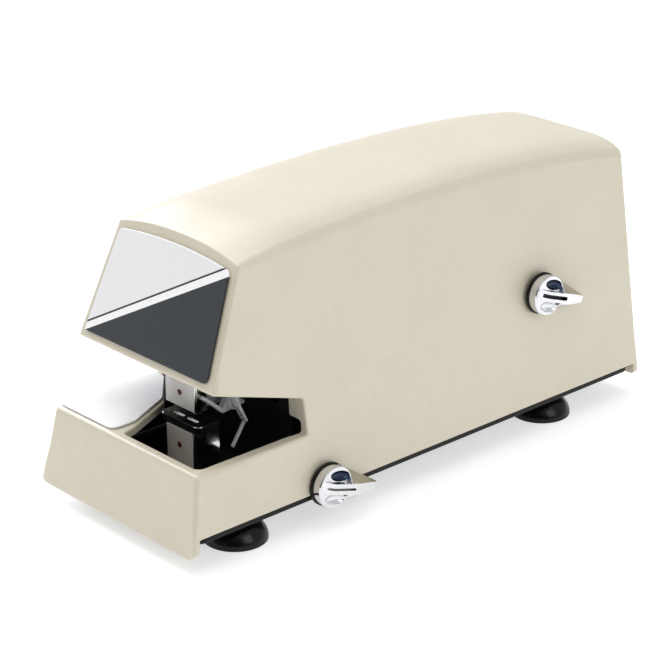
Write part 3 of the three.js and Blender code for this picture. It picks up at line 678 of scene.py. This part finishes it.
def casing_hollows():
    """The room under the roof and the room in the base."""
    brow = Vector((NOSE_BROW.x + 2.2, NOSE_BROW.y - WALL - 0.1))
    rear = Vector((REAR_BROW.x - WALL, REAR_BROW.y - WALL - 0.1))
    plain = [
        (-117.2, 50.0), (-72.0, 50.0), (-72.0, 57.5), (-65.2, 57.5), (-65.2, 3.0), (127.3, 3.0),
    ]
    upper = swept([
        *[(y, z, 0.0, 0.0) for y, z in plain],
        (rear.x, rear.y, 0.0, 0.0),
        *roof_corners(brow, rear, WALL, 0.0, 20),
        (brow.x, brow.y, 0.0, 0.0),
    ], WALL, NOSE_BROW.y - 7)
    lower = swept([
        (-127.5, 3.0, 0.0, 0.0), (-60.2, 3.0, 0.0, 0.0), (-60.2, BASE_TOP - WALL, 0.0, 0.0),
        (-121.5, BASE_TOP - WALL, 0.0, 0.0),
    ], WALL, NOSE_BROW.y)
    return [upper, lower]


def casing_openings():
    """What is cut through the casing's walls: well, throat window, knob and lead holes."""
    rim = outline(
        (-5.4, -119.5, 1.5), (40.0, -119.5, 3.0), (40.0, -68.4, 1.5), (-37.5, -68.4, 1.5),
        (-37.5, -73.0, 2.0), (-17.6, -89.5, 6.0), (-7.0, -113.0, 5.0))
    flare = 0.7
    well = prism(rim, "z", 30.0, BASE_TOP, round_high=-flare)
    cap = prism(grown(rim, flare), "z", BASE_TOP - 0.001, BASE_TOP + 2.0)
    window = prism(outline(
        (-41.0, 34.2, 0.0), (41.0, 34.2, 0.0), (41.0, 44.6, 1.6), (34.3, 44.6, 1.0),
        (34.3, 60.5, 0.0), (-34.3, 60.5, 0.0), (-34.3, 44.6, 1.0), (-41.0, 44.6, 1.6),
    ), "y", -73.0, -60.0)
    reach = 8
    holes = [rod(KNOB_HOLE_R, -reach, reach, matrix=facing_right(knob))
             for knob in (DEPTH_KNOB, FORCE_KNOB)]
    inlet = rod(INLET_R, -reach, reach, matrix=facing_front(INLET))
    return [well, cap, window, *holes, inlet]


def skirt_corner(side, low_z, y0, y1, radius):
    """What rounds off a lower corner of the front or rear skirt."""
    edge = half_width(low_z)
    centre = Vector((edge - radius, low_z + radius))
    spare, steps = 3, 8
    corners = [(edge - radius, low_z - spare), (edge + spare, low_z - spare),
               (edge + spare, low_z + radius)]
    for k in range(steps + 1):
        angle = -math.pi / 2 * k / steps
        corners.append(centre + radius * Vector((math.cos(angle), math.sin(angle))))
    return prism(outline(*[(side * x, z, 0.0) for x, z in corners]), "y", y0, y1)


def make_casing():
    corners = []
    for side in (-1, 1):
        corners.append(skirt_corner(side, SKIRT_BOTTOM, -133.0, -126.0, 5.0))
        corners.append(skirt_corner(side, REAR_FOOT.y, 126.8, 133.0, 3.5))
    bm = combine(casing_outer(), [*casing_hollows(), *casing_openings(), *corners])
    side_normal = math.cos(math.atan(DRAFT))

    def in_base(face):
        """Whether a face lines the room in the base, which is black."""
        centre = face.calc_center_median()
        inside = abs(centre.x) < half_width(centre.z) - 1.6
        return inside and -122.5 < centre.y < -63.5 and centre.z < BASE_TOP - WALL + 0.1

    def is_side(face):
        """Whether a face belongs to one of the two leaning side walls."""
        return abs(abs(face.normal.x) - side_normal) < 0.0004

    paint(bm, 1, in_base)
    # A narrow border round each side wall keeps the wear of its edges from spreading over it.
    bmesh.ops.inset_region(bm, faces=[face for face in bm.faces if is_side(face)], thickness=0.5,
                           use_even_offset=False)
    return piece("casing_shell", bm, ["casing", "inner_black"], "housing", ["casing"],
                 flat=is_side)


# ---------------------------------------------------------------- plates on the casing

def make_faceplate():
    """The plate on the sloping nose face, with its two fields parted by a stripe. Drawn flat, as
    (across, up the slope), from the middle of the nose's lip."""
    foot, brow, shoulder, rise = 37.9, 33.3, 47.0, 2.2
    shape = [(-foot, 3.4, 0.6), (foot, 3.4, 2.4), (brow, shoulder, 2.6)]
    steps = 12
    for k in range(2, steps - 1):
        x = brow - 2 * brow * k / steps
        shape.append((x, shoulder + rise * (1 - (x / brow) ** 2), 0.0))
    shape.append((-brow, shoulder, 2.6))
    bm = prism(outline(*shape), "z", 0.3, 1.1, round_high=0.2, steps=3)
    dark_line = Vector((-37.0, 7.3, 0)), Vector((31.1, 47.5, 0))
    slate_edge = Vector((-36.7, 3.9, 0)), Vector((33.8, 44.9, 0))
    planes = []
    for (start, end), shift in ((dark_line, 0.4), (dark_line, -0.4), (slate_edge, 0.0)):
        normal = Vector((start.y - end.y, end.x - start.x, 0)).normalized()
        planes.append((start + normal * shift, normal))
    for origin, normal in planes:
        geometry = [*bm.verts, *bm.edges, *bm.faces]
        bmesh.ops.bisect_plane(bm, geom=geometry, plane_co=origin, plane_no=normal)
    for face in bm.faces:
        centre = face.calc_center_median()
        above = [(centre - origin).dot(normal) > 0 for origin, normal in planes]
        face.material_index = 3 - sum(above)
    lean = Matrix((
        (1, 0, 0, 0),
        (0, NOSE_UP.x, NOSE_OUT.x, NOSE_LIP.x),
        (0, NOSE_UP.y, NOSE_OUT.y, NOSE_LIP.y),
        (0, 0, 0, 1),
    ))
    bm.transform(lean)
    return piece("faceplate", bm, ["label", "stripe_dark", "stripe_white", "slate"],
                 "housing", ["label_plate"])


def make_work_plate():
    """The pale plate that the paper lies on, to the left of the well."""
    shape = outline(
        (-43.6, -121.6, 0.6), (-10.6, -121.6, 3.4), (-10.6, -110.0, 4.0), (-20.6, -88.0, 6.0),
        (-37.6, -73.4, 1.0), (-43.6, -73.4, 0.6))
    bm = prism(shape, "z", BASE_TOP + 0.3, BASE_TOP + 0.9, round_high=0.3)
    return piece("work_surface", bm, ["work_plate"], "housing", ["work_plate"])


def make_base_sheet():
    """The black sheet that closes the casing below, notched for the lower knob."""
    half, front, rear, corner = 46.2, -125.0, 126.0, 4.0
    sheet = prism(outline(
        (-half, front, corner), (half, front, corner), (half, rear, corner), (-half, rear, corner),
    ), "z", *BASE_SHEET, round_low=0.8, round_high=0.4)
    low, high = 8, 16
    gap = box(24, 52, DEPTH_KNOB.y - 5, DEPTH_KNOB.y + 5, low, high)
    holes = [rod(2.3, low, high, 24, Matrix.Translation((x, y, 0))) for x, y in FEET.values()]
    bm = combine(sheet, [gap, *holes])
    return piece("base_sheet", bm, ["base_black"], "housing", ["base_plate"])


def make_inlet_bush():
    """The rubber bush for the mains lead, in the rear wall."""
    bm = lathe([
        (3.6, -0.9), (3.9, -1.2), (8.4, -1.2), (9.1, -1.0), (9.4, -0.6), (9.4, 0.0), (6.6, 0.0),
        (6.6, 3.7), (8.6, 3.7), (8.6, 4.6), (8.1, 5.4), (3.9, 5.4), (3.6, 5.1),
    ], matrix=facing_front(INLET + Vector((0, 1.25, 0)), REAR_LEAN))
    return piece("inlet_bush", bm, ["rubber"], "housing", ["cord_grommet"], 40)


# ---------------------------------------------------------------- feet

def make_foot(where, x, y):
    """A domed suction-cup foot with a dished underside."""
    outer = [(FOOT_R - 0.4, 0.0), (FOOT_R, 0.3), (FOOT_R, 1.3), (13.0, 2.4), (12.5, 3.8),
             (11.6, 5.3), (10.4, 6.8), (9.0, 8.1), (7.9, 9.0), (7.3, 9.8), (7.1, FOOT_H)]
    inner = [(2.3, FOOT_H), (2.3, 6.0), (5.0, 6.0), (5.0, 3.6), (6.4, 3.2), (8.2, 2.7),
             (9.6, 2.1), (10.8, 1.1), (11.6, 0.0)]
    bm = lathe(inner + outer, 72, Matrix.Translation((x, y, 0)))
    return piece(f"cup_{where}", bm, ["rubber"], "housing", [f"foot_{where}"], 50)


# ---------------------------------------------------------------- knobs

def both_sides(*points):
    """The points, and their mirror images across the ridge."""
    return [(x, side * y, z) for side in (-1, 1) for x, y, z in points]


def knob_disc():
    """The disc, with a black collar below it whose black is painted shadow for the gap against the
    casing.
    """
    rim = KNOB_R - 0.25
    return lathe([
        (0, 0), (KNOB_R + 0.3, 0), (KNOB_R + 0.3, KNOB_SHADOW_COLLAR), (rim - 0.1, KNOB_SHADOW_COLLAR + 0.05),
        (rim, KNOB_SHADOW_COLLAR + 0.2), (rim, KNOB_FACE - 1.2), (KNOB_R, KNOB_FACE - 0.9),
        (KNOB_R, KNOB_FACE - 0.5), (KNOB_R - 0.3, KNOB_FACE - 0.12), (KNOB_R - 0.8, KNOB_FACE),
        (0, KNOB_FACE)], 128)


def knob_ridge():
    ridge = hull(both_sides(
        (-8.2, RIDGE_HALF, KNOB_FACE), (-2.8, RIDGE_HALF - 0.2, KNOB_TOP),
        (RIDGE_END - 2, RIDGE_HALF, KNOB_FACE - 2), (RIDGE_END - 2, RIDGE_HALF - 0.2, KNOB_TOP)))
    soften(ridge, 0.3)
    return ridge


def knob_horn():
    """The flanks that taper out to the pointer's tip."""
    tangent = KNOB_R - 0.7
    horn = hull(both_sides(
        (HORN_START, tangent, 0.0), (HORN_START, tangent, 1.6),
        (HORN_START + 3, RIDGE_HALF, KNOB_TOP), (RIDGE_END, RIDGE_HALF, KNOB_TOP),
        (POINTER, TIP_HALF, TIP_BACK), (POINTER - 0.6, TIP_HALF, TIP_FRONT)))
    soften(horn, 0.4, 3)
    return horn


def knob_cuts(slot_half):
    """The slot along the ridge and a dish on each side of it."""
    corner = slot_half / 2
    tools = [prism(outline(
        (SLOT_START, -slot_half, corner), (SLOT_END, -slot_half, corner),
        (SLOT_END, slot_half, corner), (SLOT_START, slot_half, corner),
    ), "z", KNOB_TOP - SLOT_DEPTH, KNOB_TOP + 1)]
    for side in (-1, 1):
        dish = bmesh.new()
        place = Matrix.Translation((DISH.x, side * DISH.y, DISH.z))
        bmesh.ops.create_icosphere(dish, subdivisions=5, radius=1.0,
                                   matrix=place @ Matrix.Diagonal((*DISH_RADII, 1.0)))
        tools.append(dish)
    return tools


def knob_finish(face, slot_half):
    """0 for the plating, 1 the slot, 2 the collar, black as painted shadow in the gap against the
    casing,
    3 the upper flank, tinted beige as a painted reflection of the casing, 4 the upper dish, tinted dark
    blue as a painted reflection of the darker room.
    """
    c = face.calc_center_median()
    radius = math.hypot(c.x, c.y)
    in_slot = SLOT_START - 0.1 < c.x < SLOT_END + 0.1 and abs(c.y) <= slot_half + 0.01
    if in_slot and KNOB_TOP - SLOT_DEPTH - 0.1 < c.z < KNOB_TOP - 0.05:
        return 1
    if c.z < KNOB_SHADOW_COLLAR + 0.03 and radius < KNOB_R + 0.4:
        return 2
    if Vector([(a - b) / r for a, b, r in zip(c, DISH, DISH_RADII)]).length < 1.01:
        return 4
    if radius > KNOB_R - 0.2 and c.x > 4 and face.normal.y > 0.3 and face.normal.z > 0.2:
        return 3
    return 0


def make_knob(name, centre, turn, node, slot_half, slot_finish):
    """A chrome pointer knob on a black collar, whose black is painted shadow for the gap against the
    casing: a disc dished on both sides of a raised ridge, an inked slot along the ridge, and flanks
    that taper out to the tip. The upper flank and the upper dish are tinted as painted reflections of
    the beige casing and the darker room. Drawn with its axis along +Z and its pointer along +X, then
    set on the casing's side and turned by turn degrees."""
    body = combine(knob_disc(), [knob_ridge(), knob_horn()], "UNION")
    bm = combine(body, knob_cuts(slot_half))
    for face in bm.faces:
        face.material_index = knob_finish(face, slot_half)
    onto_side = Matrix((
        (0, 0, 1, centre.x), (1, 0, 0, centre.y), (0, 1, 0, centre.z), (0, 0, 0, 1)))
    bm.transform(onto_side @ Matrix.Rotation(math.radians(turn), 4, "Z"))
    # The collar's black is painted shadow; the flank and dish finishes are chrome tinted with painted
    # reflections.
    finishes = ["chrome", slot_finish, "base_black", "chrome_painted_casing_reflection", "chrome_painted_dark_reflection"]
    return piece(name, bm, finishes, node, [node])


# ---------------------------------------------------------------- staple head and anvil

def rivet_seat(centre):
    """What is cut out of a front plate round its rivet."""
    return rod(1.3, -1.5, 1.5, matrix=facing_front(centre))


def is_folded(face):
    """Whether a face of a folded front plate looks away from the front and the rear."""
    return abs(face.normal.y) < 0.85


def make_head_plate():
    """The head's brushed front plate, its sides folded back round bright corners."""
    profile = outline(
        (-9.6, -89.6, 0.0), (-9.6, -95.6, 1.3), (9.6, -95.6, 1.3), (9.6, -89.6, 0.0),
        (8.7, -89.6, 0.0), (8.7, -93.4, 0.6), (-8.7, -93.4, 0.6), (-8.7, -89.6, 0.0))
    bm = prism(profile, "z", 45.2, 66.6, round_low=0.25, round_high=0.25, steps=3)
    bm = combine(bm, [rivet_seat(HEAD_DOT)])
    paint(bm, 1, is_folded)
    return piece("head_plate", bm, ["brushed_steel", "chrome"], "magazine",
                 ["face_plate"])


def make_rivet(name, node, centre, body):
    """A low domed rivet head in its seat."""
    bm = lathe([
        (0, -1.2), (0.85, -1.2), (1.0, -1.0), (1.0, 0.05), (0.85, 0.2), (0.5, 0.3), (0, 0.32),
    ], 32, facing_front(centre))
    return piece(name, bm, ["rivet"], body, [node], 60)


def anvil_pockets(spare, radius, low, high, **ends):
    """What sinks the two clinching pockets, with spare room all round."""
    front, back = -93.5 - spare, -91.7 + spare
    return [
        prism(outline((a, front, radius), (b, front, radius), (b, back, radius), (a, back, radius)),
              "z", low, high, **ends)
        for a, b in ((1.2 - spare, 7.4 + spare), (-7.4 - spare, -1.2 + spare))]


def make_anvil_cap():
    """The anvil's black cap, its clinching pockets and its rim worn bright."""
    cap = prism(outline(
        (-12.0, -96.6, 2.6), (12.0, -96.6, 2.6), (12.0, -84.6, 0.8), (-12.0, -84.6, 0.8),
    ), "z", 36.5, ANVIL_TOP, round_low=0.3, round_high=0.45, steps=3)
    pockets = anvil_pockets(0.0, 0.8, ANVIL_TOP - 0.65, ANVIL_TOP, round_high=-0.15, steps=2)
    mouths = anvil_pockets(0.15, 0.9, ANVIL_TOP - 0.001, ANVIL_TOP + 1.1)
    bm = combine(cap, [*pockets, *mouths, rod(1.9, 30, 42, matrix=Matrix.Translation(ANVIL_SCREW))])

    def is_bright(face):
        c = face.calc_center_median()
        in_pocket = 1.0 < abs(c.x) < 7.6 and -93.7 < c.y < -91.5 and 39.0 < c.z < ANVIL_TOP - 0.05
        on_rim = c.z > ANVIL_TOP - 0.5 and face.normal.z < 0.95 and face.calc_area() < 1.5
        return in_pocket or on_rim

    paint(bm, 1, is_bright)
    return piece("anvil_cap", bm, ["anvil_black", "chrome"], "housing",
                 ["anvil_plate"])


def make_anvil_post():
    """The folded post under the cap, closed above and below."""
    profile = outline(
        (-9.0, -96.2, 1.6), (9.0, -96.2, 1.6), (9.0, -83.0, 0.0), (7.0, -83.0, 0.0),
        (7.0, -94.0, 0.6), (-7.0, -94.0, 0.6), (-7.0, -83.0, 0.0), (-9.0, -83.0, 0.0))
    walls = prism(profile, "z", SIDE_BOTTOM, 36.2, round_high=0.3, steps=3)
    roof, floor = (box(-7.5, 7.5, -94.6, -83.2, low, high)
                   for low, high in ((34.2, 36.15), (SIDE_BOTTOM + 0.05, SIDE_BOTTOM + 2)))
    hole = rod(1.9, 32, 38, matrix=Matrix.Translation(ANVIL_SCREW))
    bm = combine(combine(walls, [roof, floor], "UNION"), [rivet_seat(POST_DOT), hole])
    paint(bm, 1, is_folded)
    # The post's front steel is paler than the head plate's, as painted light for the shade under the
    # nose.
    return piece("anvil_pillar", bm, ["post_steel_painted_light", "chrome"], "housing",
                 ["anvil_post"])


def make_anvil_screw():
    """A pan screw with a cross slot."""
    stem = lathe([
        (0, 34.5), (1.5, 34.5), (1.5, 39.2), (1.6, 39.4), (1.6, 39.7), (1.2, ANVIL_TOP), (0, ANVIL_TOP),
    ], 32, Matrix.Translation(ANVIL_SCREW))
    y = ANVIL_SCREW.y
    slots = [box(-a, a, y - b, y + b, 39.4, 41) for a, b in ((0.25, 1.2), (1.2, 0.25))]
    return piece("anvil_bolt", combine(stem, slots), ["steel"], "housing", ["anvil_screw"])


def make_latch():
    """The magazine latch: a folded strip on its pivot, in steel whitened as painted light."""
    shape = outline(
        (-93.4, 51.4, 0.25), (-84.2, 43.0, 0.6), (-72.8, 44.2, 0.6), (-72.8, 45.6, 0.6),
        (-77.6, 48.2, 0.8), (-80.0, 49.6, 1.4), (-82.4, 48.0, 0.6), (-84.0, 45.0, 0.4),
        (-92.6, 52.4, 0.25))
    bm = prism(shape, "x", 9.9, 12.9, round_low=0.25, round_high=0.25, steps=3)
    bore = rod(1.5, 9, 14, 24, facing_right(LATCH_PIVOT))
    return piece("latch_strip", combine(bm, [bore]), ["steel_whitened_painted_light"], "latch",
                 ["magazine_latch"])


def make_trigger():
    """The paper trigger, hung from its pivot: a grooved strip down to the knee, a thin finger below."""
    left, right = 16.6, 20.2
    finger_left, finger_right = 17.7, 19.1
    strip = prism(outline(
        (-84.9, 59.3, 0.3), (-81.2, 48.4, 0.8), (-77.1, 40.0, 0.3), (-78.3, 40.0, 0.3),
        (-82.3, 48.0, 0.8), (-86.9, 59.3, 0.3),
    ), "x", left, right, round_low=0.2, round_high=0.2, steps=3)
    finger = prism(outline(
        (-77.5, 40.8, 0.0), (-77.1, 40.0, 0.3), (-83.9, 30.0, 0.3), (-84.7, 30.6, 0.3),
        (-78.3, 40.0, 0.3), (-78.7, 40.8, 0.0),
    ), "x", finger_left, finger_right, round_low=0.2, round_high=0.2, steps=3)
    boss = lathe([
        (0, left), (2.6, left), (2.8, left + 0.2), (2.8, right - 0.2), (2.6, right), (0, right),
    ], 32, facing_right(TRIGGER_PIVOT))
    bore = rod(1.5, 15, 22, 24, facing_right(TRIGGER_PIVOT))
    groove = prism(outline(
        (-86.3, 56.0, 0.0), (-83.0, 48.0, 0.0), (-79.2, 41.0, 0.0), (-78.3, 41.5, 0.0),
        (-82.0, 48.3, 0.0), (-85.4, 56.4, 0.0)), "x", finger_left, finger_right)
    bm = combine(combine(strip, [finger, boss], "UNION"), [bore, groove])
    # The trigger's whitened steel is painted light, for where it hangs in the nose's shade.
    return piece("trigger_strip", bm, ["steel_whitened_painted_light"], "paper_trigger", ["paper_trigger"])


# ---------------------------------------------------------------- inside the head

def make_staples():
    """The strip of staples, with a fine groove between one wire and the next."""
    start, end, pitch = -91.6, -32.0, 0.5
    shape = outline(
        (-6.4, 50.7, 0.0), (-5.9, 50.7, 0.0), (-5.9, 56.8, 0.0), (5.9, 56.8, 0.0),
        (5.9, 50.7, 0.0), (6.4, 50.7, 0.0), (6.4, 57.3, 0.3), (-6.4, 57.3, 0.3), steps=2)
    inner = grown(shape, -0.05)
    rings = []
    for k in range(int((end - start) / pitch)):
        y = start + k * pitch
        for step, points in ((0.02, inner), (0.09, shape), (0.41, shape), (0.48, inner)):
            rings.append([(p.x, y + step, p.y) for p, _ in points])
    return piece("staples", loft(rings), ["steel"], "magazine", ["staple_strip"], 20,
                 weighted=False)


def helix(radius, wire, turns, start, end, axis):
    """A round-wire spring along an axis, its end turns closed up."""
    per_turn, sides = 28, 10
    steps = turns * per_turn
    centres = []
    for k in range(steps + 1):
        t = k / steps
        ease = t - math.sin(2 * math.pi * t) * 0.06
        angle = 2 * math.pi * k / per_turn
        level = start + wire / 2 + (end - start - wire) * ease
        centres.append(Vector((radius * math.cos(angle), radius * math.sin(angle), level)))
    rings = []
    for k, centre in enumerate(centres):
        before, after = centres[max(k - 1, 0)], centres[min(k + 1, steps)]
        along = (after - before).normalized()
        out = Vector((centre.x, centre.y, 0)).normalized()
        up = along.cross(out).normalized()
        out = up.cross(along)
        rings.append([
            centre + wire / 2 * (math.cos(a) * out + math.sin(a) * up)
            for a in (2 * math.pi * s / sides for s in range(sides))])
    bm = loft(rings)
    if axis == "y":
        bm.transform(Matrix(((1, 0, 0, 0), (0, 0, 1, 0), (0, -1, 0, 0), (0, 0, 0, 1))))
    return bm


def make_springs():
    """The pusher's spring along its rod and the plunger's return spring, each drawn at one length."""
    start, end, closes = -20.7, 17.6, 30.5
    bm = helix(2.4, 0.8, 10, start, end, "y")
    bm.transform(Matrix.Translation(PUSHER_ROD))
    push = piece("pusher_coil", bm, ["steel"], "magazine", ["pusher_spring"], 60)
    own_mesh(push)
    low, high, closes = 62.4, 71.2, 4.2
    bm = helix(10.4, 1.4, 4, low, high, "z")
    bm.transform(Matrix.Translation(PLUNGER))
    back = piece("return_coil", bm, ["steel"], "housing", ["return_spring"], 60)
    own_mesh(back)


# ---------------------------------------------------------------- what stays as the CAD drew it

CAD_FINISH = {
    "steel": [*[f"foot_screw_{where}" for where in FEET], "latch_pin", "magazine_channel",
              "staple_pusher", "pusher_rod", "driver_blade", "plunger", "plunger_pin", "trigger_pin",
              "arm_shaft", "depth_shaft", "force_shaft", "solenoid_yoke"],
    "dark_steel": ["chassis_left", "chassis_right", "driver_guide_left", "driver_guide_right",
                   "magazine_rail_left", "drive_arm", "driver_holder", "depth_carriage"],
    # The right rail shares the whitened steel that is painted light on latch and trigger.
    "steel_whitened_painted_light": ["magazine_rail_right"],
    "black_plastic": ["throat_shield", "depth_bearing", "force_control", "micro_switch",
                      "coil_bobbin"],
    "ivory_plastic": ["terminal_block"],
    "capacitor_sleeve": ["capacitor"],
    "aluminium": ["heat_sink"],
    "board": ["control_board"],
    "copper": ["coil_winding"],
}


def finish_cad_nodes():
    for finish, names in CAD_FINISH.items():
        for name in names:
            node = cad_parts[name]
            for slot in node.material_slots:
                slot.material = FINISH[finish]


# ---------------------------------------------------------------- stage

def make_stage():
    """A floor of pale paper that glows a little, so that the shadows on it stay pale."""
    bm = bmesh.new()
    bmesh.ops.create_grid(bm, x_segments=1, y_segments=1, size=6.0)
    floor = as_object(bm, "floor")
    shader = Shader("floor_paper", (200, 200, 200), 0.7, Emission_Color=(1, 1, 1, 1),
                    Emission_Strength=0.6)
    shader.vary_roughness(shader.noise(40.0), 0.62, 0.78)
    floor.data.materials.append(shader.material)


def make_world():
    """A studio with white walls behind the stapler and a darker room on the camera's side."""
    world = bpy.data.worlds.new("studio")
    bpy.context.scene.world = world
    world.use_nodes = True
    nodes, links = world.node_tree.nodes, world.node_tree.links
    place = nodes.new("ShaderNodeTexCoord")
    toward = nodes.new("ShaderNodeVectorMath")
    toward.operation = "DOT_PRODUCT"
    toward.inputs[1].default_value = (0.50, -0.76, -0.42)    # the middle of the darker room
    ramp = nodes.new("ShaderNodeMapRange")
    ramp.interpolation_type = "SMOOTHSTEP"
    ramp.inputs["From Min"].default_value = 0.15
    ramp.inputs["From Max"].default_value = 0.75
    mix = nodes.new("ShaderNodeMix")
    mix.data_type = "RGBA"
    mix.inputs["A"].default_value = (1.25, 1.25, 1.25, 1)
    mix.inputs["B"].default_value = (0.05, 0.07, 0.12, 1)
    links.new(place.outputs["Generated"], toward.inputs[0])
    links.new(toward.outputs["Value"], ramp.inputs["Value"])
    links.new(ramp.outputs["Result"], mix.inputs["Factor"])
    links.new(mix.outputs["Result"], nodes["Background"].inputs["Color"])
    nodes["Background"].inputs["Strength"].default_value = 0.51


def aim(obj, place, target):
    """Sets a light or the camera down at place, looking at target."""
    obj.location = place
    obj.rotation_euler = (Vector(target) - Vector(place)).to_track_quat("-Z", "Y").to_euler()


def area_light(name, place, target, size, watts, rgb=(1.0, 1.0, 1.0)):
    data = bpy.data.lights.new(name, "AREA")
    data.shape = "RECTANGLE"
    data.size, data.size_y = size
    data.energy = watts
    data.color = rgb
    aim(link(name, data), place, target)


def make_lights():
    area_light("top", (-0.1, 0.0, 1.2), (0, 0, 0.05), (1.2, 1.2), 5.5, (0.95, 0.98, 1.05))
    area_light("left", (-1.05, 0.05, 0.8), (0, -0.08, 0.05), (0.8, 0.6), 11, (0.95, 0.98, 1.05))
    area_light("right", (1.4, 0.1, 0.75), (0, 0, 0.06), (0.8, 0.8), 4.2)
    area_light("front", (-0.3, -0.8, 1.2), (0, -0.08, 0.05), (0.7, 0.5), 1.6, (1.0, 0.84, 0.50))


def make_camera():
    data = bpy.data.cameras.new("camera")
    data.sensor_width = 36.0
    data.lens = 124.7
    data.clip_start, data.clip_end = 0.01, 50.0
    camera = link("camera", data)
    aim(camera, TO_ROW @ Vector((638.9, -604.8, 411.6)), TO_ROW @ Vector((0.0, -17.4, 58.6)))
    bpy.context.scene.camera = camera


# ---------------------------------------------------------------- the whole scene

bpy.context.scene.view_settings.view_transform = "Standard"
make_camera()
make_world()
make_lights()
make_stage()
make_casing()
make_faceplate()
make_work_plate()
make_base_sheet()
make_inlet_bush()
for where, (foot_x, foot_y) in FEET.items():
    make_foot(where, foot_x, foot_y)
make_knob("knob_lower", DEPTH_KNOB, -17.5, "depth_knob", 0.5, "steel")
make_knob("knob_upper", FORCE_KNOB, -19.5, "force_knob", 0.85, "base_black")
make_head_plate()
make_rivet("head_dot", "face_plate_rivet", HEAD_DOT, "magazine")
make_rivet("post_dot", "anvil_post_rivet", POST_DOT, "housing")
make_anvil_cap()
make_anvil_post()
make_anvil_screw()
make_latch()
make_trigger()
make_staples()
make_springs()
finish_cad_nodes()
